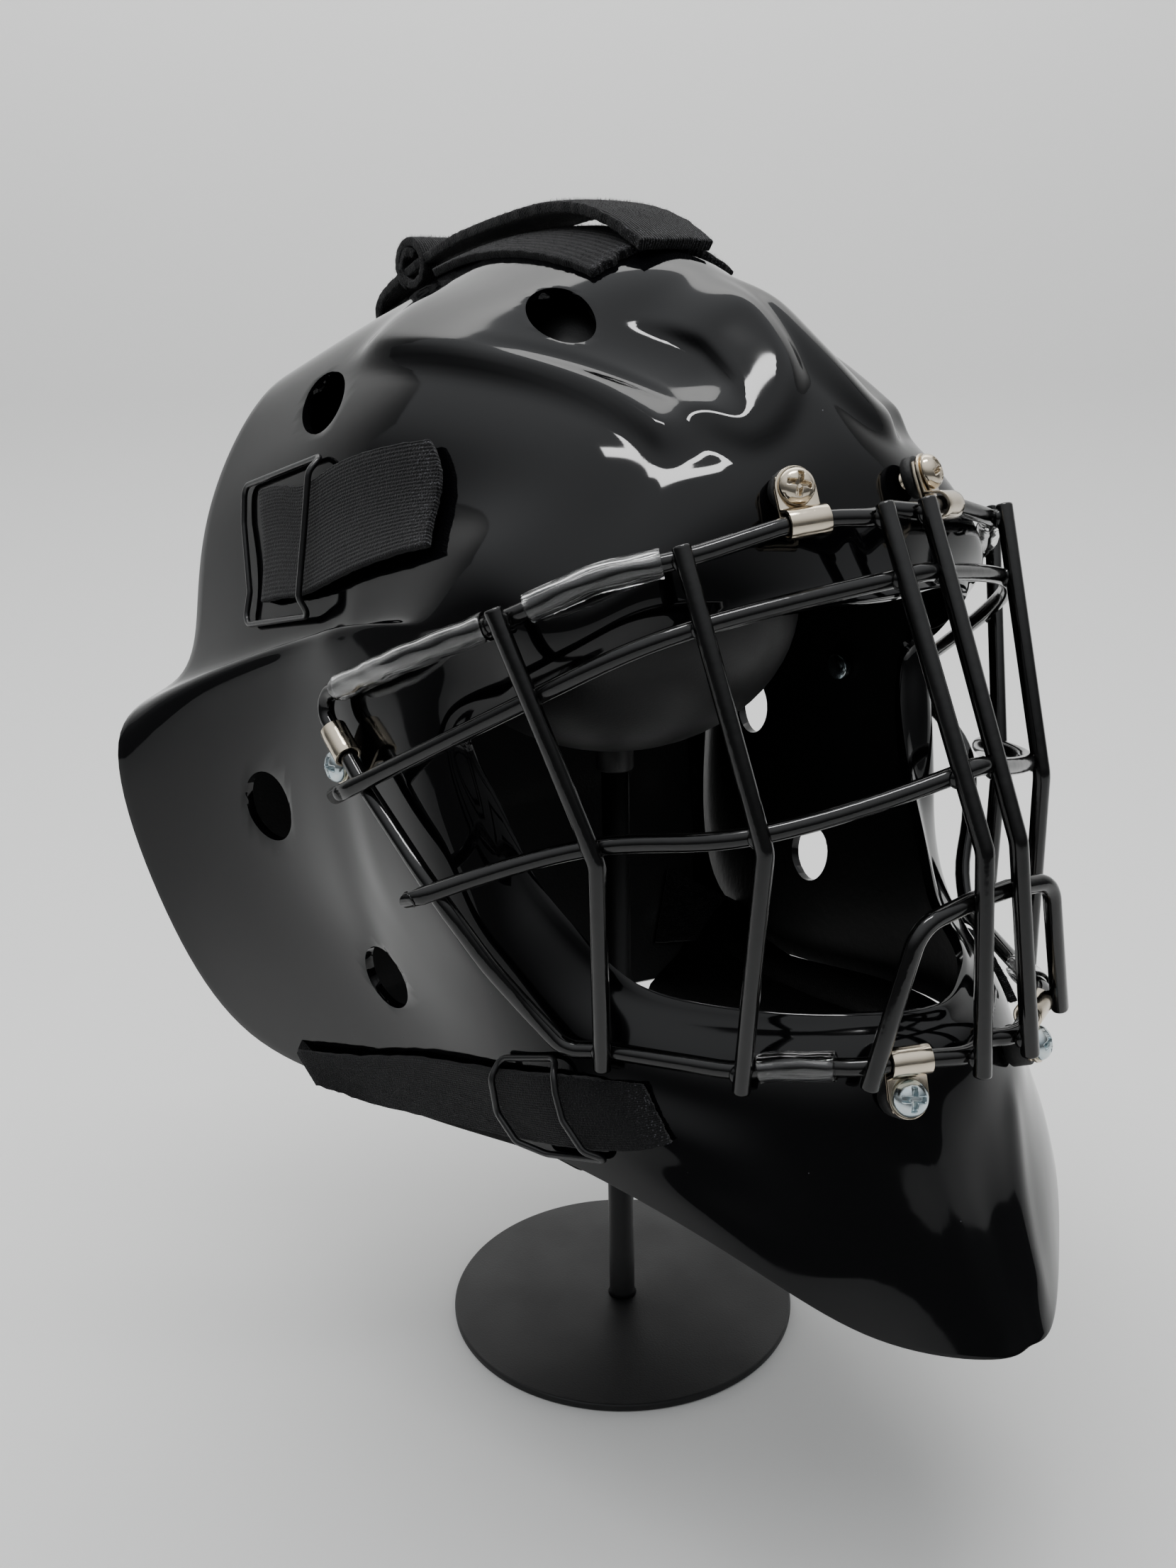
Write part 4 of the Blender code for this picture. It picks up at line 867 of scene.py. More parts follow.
# %% Bend the rim, the uprights, the cross wires and the chin arch
rim_half = list(rim_places.values())
rim_radii = [RIM_SWEEP] * len(rim_half)
rim_radii[list(rim_places).index("corner")] = CORNER_BEND
rim_radii[list(rim_places).index("side 0")] = RIM_BEND
rim_radii[list(rim_places).index("low corner")] = RIM_BEND
rim_whole = rim_half + [mirrored(point) for point in rim_half[-2:0:-1]]
rim_run = rounded_run(rim_whole, rim_radii + rim_radii[-2:0:-1], closed=True)
runs = []
welds = []
for side in (1, -1):
    for upright in UPRIGHTS:
        top, bend, foot = ahead_of(at(upright.top)), at(upright.bend), ahead_of(at(upright.foot))
        welds += [(Vector((side * spot.x, spot.y, spot.z)), facing(spot), side) for spot in (top, foot)]
        top += (top - bend).normalized() * WIRE_PAST
        foot += (foot - bend).normalized() * WIRE_PAST
        run = rounded_run([top, bend, foot], [WIRE_BEND] * 3)
        runs.append([Vector((side * point.x, point.y, point.z)) for point in run])
for cross in CROSSES:
    half = [behind(along(upright, height)) for upright, height in zip(UPRIGHTS, cross[1:4])]
    for side in (1, -1):
        for spot in half:
            welds.append((ahead_of(Vector((side * spot.x, spot.y, spot.z))), facing(spot), side))
    end = ahead_of(at(RIM_SIDE[cross.side]))
    half.append(end)
    half.append(end + (end - half[-2]).normalized() * WIRE_PAST)
    runs.append([Vector(spot) for spot in smooth_run([mirrored(point) for point in half[::-1]] + half, 90)])
leg = ahead_of(at(ARCH_FOOT))
arch_half = [behind(along(inner, ARCH_TOP)), at(ARCH_SHOULDER), leg + (leg - at(ARCH_SHOULDER)).normalized() * WIRE_PAST]
arch = [mirrored(point) for point in arch_half[::-1]] + arch_half
runs.append(rounded_run(arch, [WIRE_BEND] * len(arch)))
print(len(runs), "wires and the rim,", round(sum((b - a).length for a, b in zip(rim_run, rim_run[1:])), 3), "m round the rim")

# %% [markdown]
# The sawn ends of the wires are a little rounded by the enamel, so each rod narrows over its
# last half millimetre instead of ending in a sharp disc. Where two wires cross, the weld and
# the enamel fill the corner with a small bead.

# %% The cage as one piece
def enamelled_rod(run):
    """A rod whose two ends are rounded over."""
    start, end = (run[1] - run[0]).normalized(), (run[-1] - run[-2]).normalized()
    radius = WIRE / 2
    points = [run[0], run[0] + start * 0.0002, run[0] + start * 0.0007] + run[1:-1]
    points += [run[-1] - end * 0.0007, run[-1] - end * 0.0002, run[-1]]
    radii = [radius * 0.80, radius * 0.94, radius] + [radius] * (len(run) - 2) + [radius, radius * 0.94, radius * 0.80]
    return rod(points, radii)


def weld_bead(spot, outwards):
    """A flattened ball of weld in the corner between two wires."""
    bead = bmesh.new()
    bmesh.ops.create_icosphere(bead, subdivisions=3, radius=1)
    turn = outwards.to_track_quat("Z", "Y").to_matrix().to_4x4()
    scale = Matrix.Diagonal((WIRE * 0.60, WIRE * 0.60, WIRE * 0.36, 1))
    bmesh.ops.transform(bead, matrix=Matrix.Translation(spot - outwards * (WIRE - WELD_BITE) / 2) @ turn @ scale, verts=bead.verts)
    return bead


parts = [rod(rim_run, WIRE / 2, closed=True)] + [enamelled_rod(run) for run in runs]
parts += [weld_bead(spot, Vector((side * out.x, out.y, out.z))) for spot, out, side in welds]
cage = hand_over("wire_cage", gathered(parts), [enamel], ["cage"])
print("cage", len(cage.data.polygons), "faces,", len(welds), "welds")

# %% [markdown]
# ## Clear sleeves
#
# Short lengths of clear vinyl tube are slipped over the rim so that it doesn't knock against
# the shell. Each is slit along its back to get it on, so the tube is an open curl.

# %% Sleeves on the rim
Sleeve = namedtuple("Sleeve", "name start end bare_start bare_end")
SLEEVES = [
    Sleeve("brow", "middle top", "outer top", 0.0044, 0.0075),
    Sleeve("temple", "outer top", "corner", 0.0044, 0.0100),
    Sleeve("chin", "middle foot", "arch foot", 0.0056, 0.0070),
]
SLEEVE_WALL = 0.0010
SLEEVE_GAP = 0.0006


def nearest_on_rim(point):
    """The rim's point nearest to a point, and the rim's direction there."""
    best = None
    for start, end in zip(rim_run, rim_run[1:] + rim_run[:1]):
        share = min(max((point - start).dot(end - start) / (end - start).length_squared, 0), 1)
        spot = start.lerp(end, share)
        if best is None or (spot - point).length < (best[0] - point).length:
            best = (spot, (end - start).normalized())
    return best


rim_steps = np.concatenate([[0], np.cumsum([(b - a).length for a, b in zip(rim_run, rim_run[1:])])])


def rim_length(point):
    """How far along the rim's run a point of it lies."""
    for start, end, before in zip(rim_run, rim_run[1:], rim_steps):
        if abs((point - start).length + (end - point).length - (end - start).length) < 1e-7:
            return before + (point - start).length
    return 0.0


for sleeve in SLEEVES:
    low = rim_length(nearest_on_rim(rim_places[sleeve.start])[0]) + sleeve.bare_start
    high = rim_length(nearest_on_rim(rim_places[sleeve.end])[0]) - sleeve.bare_end
    wanted = np.linspace(low, high, max(8, int((high - low) / 0.0016)))
    run = [Vector([np.interp(length, rim_steps, [point[axis] for point in rim_run]) for axis in range(3)]) for length in wanted]
    count = 30
    rows = []
    side_axis = None
    for index, spot in enumerate(run):
        ahead = (run[min(index + 1, len(run) - 1)] - run[max(index - 1, 0)]).normalized()
        out = facing(spot)
        out = (out - ahead * out.dot(ahead)).normalized()
        above = ahead.cross(out)
        row = []
        for step in range(count):
            angle = math.radians(-168 + 336 * step / (count - 1))
            ripple = 0.00012 * math.sin(angle * 3 + index * 0.7) + 0.00010 * mathutils_noise.noise(spot * 260)
            radius = WIRE / 2 + SLEEVE_GAP + SLEEVE_WALL / 2 + ripple - 0.0002
            row.append(spot + (out * math.cos(angle) + above * math.sin(angle)) * radius)
        rows.append(row)
    half = sheet(rows)
    for side, bm in (("left", half), ("right", other_side(half))):
        piece = hand_over(side + "_" + sleeve.name + "_vinyl", bm, [vinyl], [side + "_" + sleeve.name + "_sleeve"])
        wall(piece, SLEEVE_WALL, 0, even=False)
        round_edges(piece, 0.0002, 2)
        modified(piece)
    print(sleeve.name, "sleeve", round((high - low) * 1000), "mm long")

# %% [markdown]
# ## Clips, screws and rubber spacers
#
# A clip is a strip of nickel-plated steel bent round the wire, with both ends under one screw.
# It is a grid of quads pulled along the bent path, thickened and given a small bevel. The
# spacer and the screw are turned, and a cross is cut into the screw's head.

# %% Sizes of the fasteners
CLIP_SHEET = 0.0008
CLIP_GAP = 0.0006
CLIP_WIDTH = 0.0105
CLIP_REACH = 0.0094
SCREW_HEAD = 0.0096
SCREW_HEAD_HIGH = 0.0034
SCREW_SHANK = 0.0046
CROSS_WIDE = 0.0014
CROSS_LONG = 0.0060
CROSS_DEEP = 0.0030
SCREW_NUT = 0.0090
SPACER_WIDE = 0.0112
NUT_THICK = 0.0030
GAP = 0.0003
Clip = namedtuple("Clip", "name start end share station place")
CLIPS = [
    Clip("top", "brow", "middle top", 0.0, 13.30, 1.50),
    Clip("side", "corner", "side 0", 0.54, 7.20, 3.00),
    Clip("bottom", "chin", "inner foot", 0.0, 1.05, 1.75),
]


def axes(origin, x_axis, z_axis):
    """A frame at origin whose Z is z_axis and whose X is as near x_axis as it can be."""
    z_axis = z_axis.normalized()
    y_axis = z_axis.cross(x_axis).normalized()
    place = Matrix((y_axis.cross(z_axis), y_axis, z_axis)).transposed().to_4x4()
    place.translation = origin
    return place


def clip_layout(clip):
    """Where a clip's wire, screw line and layers lie, as in the CAD model."""
    spot, direction = nearest_on_rim(rim_places[clip.start].lerp(rim_places[clip.end], clip.share))
    before, _ = nearest_on_rim(spot - direction * CLIP_WIDTH / 2)
    after, _ = nearest_on_rim(spot + direction * CLIP_WIDTH / 2)
    direction = (after - before).normalized()
    wire = spot.lerp((before + after) / 2, 0.5)
    point, normal, _ = seat(clip.station, clip.place)
    for refine in range(4):
        up = (normal - direction * normal.dot(direction)).normalized()
        out = up.cross(direction).normalized()
        if out.dot(point - wire) < 0:
            out = -out
            direction = -direction
        screw_line = wire + out * CLIP_REACH
        point, normal, _ = seat_under(screw_line + up * up.dot(point - wire), clip.station, clip.place)
    heights = [up.dot(point - wire)]
    for step in range(8):
        turn = math.tau * step / 8
        spot = screw_line + up * heights[0] + (direction * math.cos(turn) + out * math.sin(turn)) * SPACER_WIDE / 2
        heights.append(up.dot(seat_under(spot, clip.station, clip.place)[0] - wire))
    return wire, direction, out, up, max(heights), min(heights) - SHELL_WALL / up.dot(normal)


def screw_head(low, nut):
    """A pan-head screw with its nut, about Z, with the cross pressed into its head."""
    profile = [(0, nut - NUT_THICK), (SCREW_NUT / 2 - 0.0003, nut - NUT_THICK), (SCREW_NUT / 2, nut - NUT_THICK + 0.0003)]
    profile += [(SCREW_NUT / 2, nut - 0.0003), (SCREW_NUT / 2 - 0.0003, nut), (SCREW_SHANK / 2, nut), (SCREW_SHANK / 2, low)]
    profile += [(SCREW_HEAD / 2 - 0.0002, low), (SCREW_HEAD / 2, low + 0.0002)]
    for step in range(1, 29):
        share = 1 - step / 28
        profile.append((SCREW_HEAD / 2 * share, low + 0.0002 + (SCREW_HEAD_HIGH - 0.0002) * (1 - share ** 2.8) ** 0.6))
    screw = turned(profile, 96)
    for vert in screw.verts:
        if vert.co.z > low + SCREW_HEAD_HIGH * 0.6:
            spread = sorted((abs(vert.co.x), abs(vert.co.y)))
            inside = float(eased((CROSS_WIDE / 2 - spread[0]) / 0.00015 + 0.5) * eased((CROSS_LONG / 2 - spread[1]) / 0.0005 + 0.5))
            vert.co.z -= CROSS_DEEP * inside * (1 - 0.4 * spread[1] / CROSS_LONG * 2)
    return screw


print("clips", [clip.name for clip in CLIPS])

# %% Bend the clips and turn the screws
for clip in CLIPS:
    wire, direction, out, up, floor, cellar = clip_layout(clip)
    wrap = WIRE / 2 + CLIP_GAP + CLIP_SHEET / 2
    low_layer = max(-wrap, floor + 2 * GAP + CLIP_SHEET)
    high_layer = low_layer + CLIP_SHEET + GAP
    elbow = wrap + CLIP_SHEET / 2
    path = [(CLIP_REACH + SPACER_WIDE * 0.3, low_layer, 0.8), (CLIP_REACH, low_layer, 1.0), (elbow, low_layer, 1.0)]
    leave = math.atan2(low_layer, elbow) - math.acos(min(1, wrap / math.hypot(elbow, low_layer)))
    land = math.atan2(high_layer, elbow) + math.acos(min(1, wrap / math.hypot(elbow, high_layer))) - math.tau
    for step in range(25):
        angle = leave + (land - leave) * step / 24
        path.append((wrap * math.cos(angle), wrap * math.sin(angle), 1.0))
    path += [(elbow + 0.0004, high_layer, 1.0), (CLIP_REACH, high_layer, 1.0)]
    for step in range(1, 13):
        angle = math.radians(86 * step / 12)
        path.append((CLIP_REACH + math.sin(angle) * CLIP_WIDTH / 2, high_layer, math.cos(angle)))
    place = Matrix((direction, out, up)).transposed().to_4x4()
    place.translation = wire
    rows = []
    for along_out, height, share in path:
        rows.append([place @ Vector((edge * share * CLIP_WIDTH / 2, along_out, height)) for edge in (-1, -0.5, 0, 0.5, 1)])
    strip = sheet(rows)
    screw_frame = axes(wire + out * CLIP_REACH, direction, up)
    low = high_layer + CLIP_SHEET / 2 + GAP
    metal = nickel if clip.name == "top" else zinc
    screw_bm = screw_head(low, cellar - 2 * GAP)
    turn = Matrix.Rotation(math.radians({"top": 20, "side": 55, "bottom": 8}[clip.name]), 4, "Z")
    bmesh.ops.transform(screw_bm, matrix=screw_frame @ turn, verts=screw_bm.verts)
    for side, bm in (("left", screw_bm), ("right", other_side(screw_bm))):
        hand_over(side + "_" + clip.name + "_pan_screw", bm, [metal], [side + "_" + clip.name + "_screw"])
    for side, bm in (("left", strip), ("right", other_side(strip))):
        piece = hand_over(side + "_" + clip.name + "_wire_clip", bm, [nickel], [side + "_" + clip.name + "_clip"])
        wall(piece, CLIP_SHEET, 0, even=False)
        round_edges(piece, 0.00018, 2)
        modified(piece)
    spacer_top = low_layer - CLIP_SHEET / 2 - GAP
    spacer_foot = floor + 2 * GAP
    if spacer_top - spacer_foot > 0.001:
        edge = SPACER_WIDE / 2
        bore = SCREW_SHANK / 2 + GAP
        ring = [(bore, spacer_foot), (edge - 0.0004, spacer_foot), (edge, spacer_foot + 0.0004), (edge, spacer_top - 0.0004)]
        ring += [(edge - 0.0004, spacer_top), (bore, spacer_top), (bore, spacer_foot)]
        spacer = turned(ring, 32)
        bmesh.ops.transform(spacer, matrix=screw_frame, verts=spacer.verts)
        for side, bm in (("left", spacer), ("right", other_side(spacer))):
            hand_over(side + "_" + clip.name + "_washer", bm, [rubber], [side + "_" + clip.name + "_spacer"])
    print(clip.name, "clip, layers", round(low_layer * 1000, 2), round(high_layer * 1000, 2), "mm")

# %% [markdown]
# ## Webbing straps
#
# The straps are napped loop webbing, about 2.4 mm thick, with a patch of stiff hook tape on
# the free end. Each is a fine grid laid along the same places on the shell as in the CAD
# model. A little noise along the edges gives the fuzzy outline that a cut fabric has.

# %% Strap places, front to back
Band = namedtuple("Band", "station_top place_top station_low place_low lift")
SIDE_STRAP = [
    Band(10.90, 3.62, 9.90, 2.65, 0.0006),
    Band(10.80, 3.85, 9.78, 3.05, 0.0020),
    Band(10.66, 4.15, 9.64, 3.58, 0.0016),
    Band(10.50, 4.50, 9.52, 4.10, 0.0006),
    Band(10.56, 4.80, 9.52, 4.48, 0.0008),
    Band(10.62, 5.12, 9.54, 4.86, 0.0006),
]
JAW_STRAP = [
    Band(3.30, 1.90, 3.10, 3.20, 0.0004),
    Band(3.64, 2.26, 3.36, 3.78, 0.0008),
    Band(4.00, 2.65, 3.66, 4.45, 0.0010),
    Band(4.42, 3.50, 4.05, 5.48, 0.0004),
    Band(4.80, 4.40, 4.45, 6.02, 0.0006),
    Band(5.25, 5.30, 4.98, 6.16, 0.0014),
]
JAW_TURN = ((78, 76, 10.0), (78, 71, 7.6))
JAW_STRAP_END = ((0.84, 16.0), (0.80, 7.0))
SIDE_STRAP_END = 0.92
TOP_STRAP = [
    (49.8, 99.1), (55.0, 101.8), (64.0, 103.6), (76.0, 102.6), (86.0, 100.8), (95.0, 98.0),
    (99.6, 96.2), (102.2, 94.2), (102.0, 91.6), (99.0, 90.0), (96.5, 88.6),
]
TOP_STRAP_END = (86.4, 83.6)
TOP_STRAP_WIDE = 0.0260
TOP_CLOTH = 0.0034
Row = namedtuple("Row", "height depth half_width")
PLATE_ROWS = [
    Row(88.6, 92.4, 12), Row(85.6, 92.8, 27), Row(81.0, 93.4, 40), Row(72.2, 94.7, 59), Row(61.9, 95.0, 67), Row(51.5, 94.4, 72),
    Row(41.2, 93.7, 76), Row(30.9, 92.1, 76), Row(20.6, 89.4, 73), Row(12.0, 86.1, 67), Row(5.2, 83.1, 57), Row(2.1, 81.8, 45),
]
PLATE_DISH = 0.0125
PLATE_SLANT = 1.15
STRAP_SEAT = 0.0004
FIBRE_WIDE = 0.00007


def plate_point(height, share):
    """The middle of the back plate's wall at a height share and a share of its half width."""
    heights = [row.height for row in PLATE_ROWS[::-1]]
    half_width = np.interp(height, heights, [row.half_width for row in PLATE_ROWS[::-1]])
    depth = np.interp(height, heights, [row.depth for row in PLATE_ROWS[::-1]])
    point = at((half_width * share, depth, height))
    point.y -= PLATE_DISH * share * share * half_width / 76
    return point


def plate_front(height, share):
    return plate_point(height, share) - Vector((0, PLATE_WALL / 2 * PLATE_SLANT + STRAP_THICK / 2 + STRAP_SEAT, 0))


def extended_seat(station, place):
    """A seat that may lie past the shell's outer edge, straight on from it."""
    if place <= LAST_PLACE:
        return seat(station, place)
    point, normal, around = seat(station, LAST_PLACE)
    before, _, _ = seat(station, LAST_PLACE - 0.02)
    return point + (point - before) / 0.02 * (place - LAST_PLACE), normal, around


def strap_rows(bands, count, columns):
    """Points over the shell for a strap, close enough together to look like cloth."""
    knots = smooth_run(np.array([tuple(band) for band in bands]), count)
    rows = []
    for station_top, place_top, station_low, place_low, lift in knots:
        row = []
        for column in range(columns + 1):
            share = column / columns
            station = station_top + (station_low - station_top) * share
            place = place_top + (place_low - place_top) * share
            point, normal, _ = extended_seat(station, place)
            row.append(point + normal * (STRAP_LIFT + lift + STRAP_THICK / 2))
        rows.append(row)
    return rows


def linked_rows(rows, count):
    """Rows of points with more rows between them along a smooth run."""
    table = np.array([[tuple(point) for point in row] for row in rows])
    columns = [smooth_run(table[:, column], count) for column in range(table.shape[1])]
    return [[Vector(column[index]) for column in columns] for index in range(count)]


def frayed(bm, amount, grain):
    """Move the outline of a strap's grid in and out by noise, and its face a little."""
    for vert in bm.verts:
        wave = mathutils_noise.noise_vector(vert.co / grain)
        fine = mathutils_noise.noise_vector(vert.co / (grain * 0.35))
        edge = 1.0 if vert.is_boundary else 0.25
        vert.co += (wave * 0.6 + fine * 0.4) * amount * edge
    return bm


def napped(piece, count, length, seed):
    """Add a nap of short closed fibres, each three-sided, standing out of a piece's cloth."""
    chance = np.random.default_rng(seed)
    bm = bmesh.new()
    bm.from_mesh(piece.data)
    bm.faces.ensure_lookup_table()
    areas = np.array([face.calc_area() for face in bm.faces])
    picks = chance.choice(len(areas), count, p=areas / areas.sum())
    roots = []
    for pick in picks:
        face = bm.faces[int(pick)]
        weights = chance.dirichlet(np.ones(len(face.verts)))
        spot = sum((vert.co * float(weight) for vert, weight in zip(face.verts, weights)), Vector())
        roots.append((spot, face.normal.copy()))
    for spot, normal in roots:
        lean = Vector(chance.normal(0, 0.75, 3))
        tip = spot + (normal + lean).normalized() * length * float(chance.uniform(0.4, 1.0))
        side = normal.orthogonal().normalized()
        other = normal.cross(side)
        base = []
        for corner in range(3):
            angle = math.tau * corner / 3
            base.append(bm.verts.new(spot + (side * math.cos(angle) + other * math.sin(angle)) * FIBRE_WIDE / 2))
        point = bm.verts.new(tip)
        for first, second in zip(base, base[1:] + base[:1]):
            bm.faces.new((first, second, point))
        bm.faces.new(base[::-1])
    bm.to_mesh(piece.data)
    bm.free()
    for face in piece.data.polygons:
        face.use_smooth = True
    return piece


def cloth_size(rows):
    """The width and length that a band of cloth was cut to."""
    middle = [row[len(row) // 2] for row in rows]
    widths = [sum((Vector(b) - Vector(a)).length for a, b in zip(row, row[1:])) for row in rows]
    return sum(widths) / len(widths), sum((Vector(b) - Vector(a)).length for a, b in zip(middle, middle[1:]))


def make_strap(name, rows, replaced, thickness=STRAP_THICK):
    """A strap for one side and its mirror image, stretched over the shell."""
    half = frayed(sheet(rows), 0.00045, 0.0016)
    pieces = []
    for side, bm in (("left", half), ("right", other_side(half))):
        piece = hand_over(side + name, bm, [webbing], [side + replaced])
        wall(piece, thickness - 0.0003, 0, even=False)
        round_edges(piece, 0.0007, 3, 50)
        modified(piece)
        napped(piece, 9000, 0.0010, 7)
        pieces.append(piece)
    return pieces


print("straps laid from", SIDE_STRAP[0], "and", JAW_STRAP[0])

# %% Side straps
STRAP_COLUMNS = 34
over_shell = strap_rows(SIDE_STRAP, 46, STRAP_COLUMNS)
dive = SIDE_STRAP[-1]
tail = [over_shell[-1]]
for advance, depth in ((0.0030, 0.3), (0.0046, 1.0), (0.0046, 2.4)):
    row = []
    for column in range(STRAP_COLUMNS + 1):
        share = column / STRAP_COLUMNS
        station = dive.station_top + (dive.station_low - dive.station_top) * share
        place = dive.place_top + (dive.place_low - dive.place_top) * share
        point, normal, around = seat(station, place)
        back = around.cross(normal)
        row.append(point + back * advance * (1 if back.y > 0 else -1) - normal * (depth * SHELL_WALL - STRAP_THICK * 0.3))
    tail.append(row)
tail.append([plate_front((point.z - CHIN_Z) / HEIGHT * 100, SIDE_STRAP_END) for point in tail[-1]])
middle_rows = []
for first, second in zip(tail[1:], tail[2:]):
    steps = 3 if (first[0] - second[0]).length < 0.01 else 16
    for step in range(steps):
        middle_rows.append([a.lerp(b, step / steps) for a, b in zip(first, second)])
side_rows = over_shell + middle_rows + [tail[-1]]
make_strap("_side_webbing", side_rows, "_side_strap")
print("side strap", round(sum((a[0] - b[0]).length for a, b in zip(side_rows, side_rows[1:])) * 1000), "mm long")

# %% Jaw straps
over_jaw = strap_rows(JAW_STRAP, 46, STRAP_COLUMNS)
turn_top, turn_low = [at(shares) for shares in JAW_TURN]
end_top, end_low = [plate_front(height, share) for share, height in JAW_STRAP_END]
shares = [column / STRAP_COLUMNS for column in range(STRAP_COLUMNS + 1)]
turn_row = [turn_top.lerp(turn_low, share) for share in shares]
end_row = [end_top.lerp(end_low, share) for share in shares]
tail_rows = [[a.lerp(b, step / 12) for a, b in zip(over_jaw[-1], turn_row)] for step in range(1, 13)]
tail_rows += [[a.lerp(b, step / 12) for a, b in zip(turn_row, end_row)] for step in range(1, 13)]
make_strap("_jaw_webbing", over_jaw + tail_rows, "_jaw_strap")
print("jaw strap", len(over_jaw) + len(tail_rows), "rows")

# %% [markdown]
# The plastic frames that the straps run through are slim moulded bars, closed into a ring.

# %% Strap frames
FRAME_BAR = 0.0019
over = STRAP_LIFT + STRAP_THICK + 2 * GAP
SIDE_RING = [
    (10.78, 4.44, STRAP_LIFT), (10.60, 4.38, over + 0.0012), (10.30, 4.29, over + 0.0015), (10.00, 4.20, over + 0.0015),
    (9.70, 4.11, over + 0.0014), (9.46, 4.05, over + 0.0012), (9.30, 4.02, STRAP_LIFT),
    (9.40, 5.14, STRAP_LIFT), (9.70, 5.18, STRAP_LIFT), (10.40, 5.36, STRAP_LIFT), (10.80, 5.42, STRAP_LIFT),
]
JAW_RING = [
    (4.12, 2.34, STRAP_LIFT), (4.02, 2.62, over + 0.0012), (3.93, 3.05, over + 0.0016), (3.81, 3.65, over + 0.0018),
    (3.66, 4.42, over + 0.0014), (3.56, 4.74, STRAP_LIFT), (3.94, 5.82, STRAP_LIFT), (4.06, 5.46, over + 0.0010),
    (4.22, 4.60, over + 0.0012), (4.40, 3.60, over + 0.0010), (4.50, 3.22, STRAP_LIFT),
]
for name, spots in (("side", SIDE_RING), ("jaw", JAW_RING)):
    points = []
    for station, place, lift in spots:
        point, normal, _ = seat(station, place)
        points.append(point + normal * (lift + FRAME_BAR / 2))
    half = rod(rounded_run(points, [0.004] * len(points), closed=True, step_degrees=10), FRAME_BAR / 2, closed=True, level=4)
    for side, bm in (("left", half), ("right", other_side(half))):
        hand_over(side + "_" + name + "_ring", bm, [frame_plastic], [side + "_" + name + "_frame"])
print("frames", 4)

# %% [markdown]
# ## Top strap
#
# Over the crown the strap stands up in an arch, lies on a felted pad, rolls over itself at the
# back and turns down to the back plate.

# %% The strap over the crown
line = [at((0, depth, height)) for depth, height in TOP_STRAP]
for height in TOP_STRAP_END:
    line.append(plate_point(height, 0) + Vector((0, PLATE_WALL / 2 * PLATE_SLANT + STRAP_THICK / 2 + STRAP_SEAT, 0)))
run = smooth_run(line, 150)
rows = []
for index, spot in enumerate(run):
    ahead = Vector(run[min(index + 1, len(run) - 1)] - run[max(index - 1, 0)]).normalized()
    above = Vector((1, 0, 0)).cross(ahead)
    if above.z < 0 and index < 80:
        above = -above
    row = []
    for column in range(23):
        edge = column / 11 - 1
        row.append(Vector(spot) + Vector((edge * TOP_STRAP_WIDE / 2, 0, 0)) - above * 0.0006 * edge * edge)
    rows.append(row)
bm = frayed(sheet(rows), 0.0007, 0.0018)
top_strap = hand_over("top_webbing", bm, [webbing], ["top_strap"])
wall(top_strap, TOP_CLOTH, 0, even=False)
round_edges(top_strap, 0.0012, 3, 50)
modified(top_strap)
napped(top_strap, 16000, 0.0013, 11)
print("top strap", round(float(np.linalg.norm(np.diff(run, axis=0), axis=1).sum()) * 1000), "mm long")

# %% The felted pad on the crown
CROWN_PAD_FRONT = 3.86
CROWN_PAD_BACK = 5.35
CROWN_PAD_REACH = 0.82
PAD_THICK = 0.0028
rows = []
for place in np.linspace(CROWN_PAD_FRONT, CROWN_PAD_BACK, 60):
    row = []
    for share in np.linspace(-1, 1, 45):
        ragged = 0.035 * mathutils_noise.noise(Vector((share * 9, 0, 1))) * max(0, 1 - (place - CROWN_PAD_FRONT) * 3)
        point, normal, _ = seat(LAST_STATION + share * CROWN_PAD_REACH * (1 - 0.25 * (place - CROWN_PAD_FRONT)), place + ragged)
        row.append(point + normal * (0.0004 + PAD_THICK / 2))
    rows.append(row)
bm = frayed(sheet(rows), 0.0006, 0.0018)
bmesh.ops.recalc_face_normals(bm, faces=bm.faces)
pad = hand_over("crown_felt", bm, [webbing], ())
wall(pad, PAD_THICK, 0, even=False)
round_edges(pad, 0.0012, 3, 50)
modified(pad)
napped(pad, 16000, 0.0013, 13)
print("crown pad", len(pad.data.polygons), "faces")

# %% The roll at the strap's back end
ROLL_AT = (0, 93.6, 98.8)
ROLL_RADIUS = 0.0072
rows = []
centre = at(ROLL_AT)
for step in range(56):
    turn = math.radians(-70 + 560 * step / 55)
    radius = ROLL_RADIUS - 0.0036 * max(0, step - 28) / 27
    spot = centre + Vector((0, math.cos(turn) * radius * 1.15, math.sin(turn) * radius))
    rows.append([spot + Vector((edge * TOP_STRAP_WIDE * 0.52, 0, 0)) for edge in np.linspace(-1, 1, 23)])
bm = frayed(sheet(rows), 0.0005, 0.0016)
roll = hand_over("strap_roll", bm, [webbing], ())
wall(roll, 0.0030, 0, even=False)
round_edges(roll, 0.0007, 2, 50)
modified(roll)
napped(roll, 14000, 0.0014, 17)
print("roll", round(ROLL_RADIUS * 2000, 1), "mm across")

# %% [markdown]
# ## Back plate
#
# The back of the head is covered by a dished plate of moulded plastic with a rolled edge and
# shallow ribs. It is a grid over the same rows as the CAD plate, only much finer.

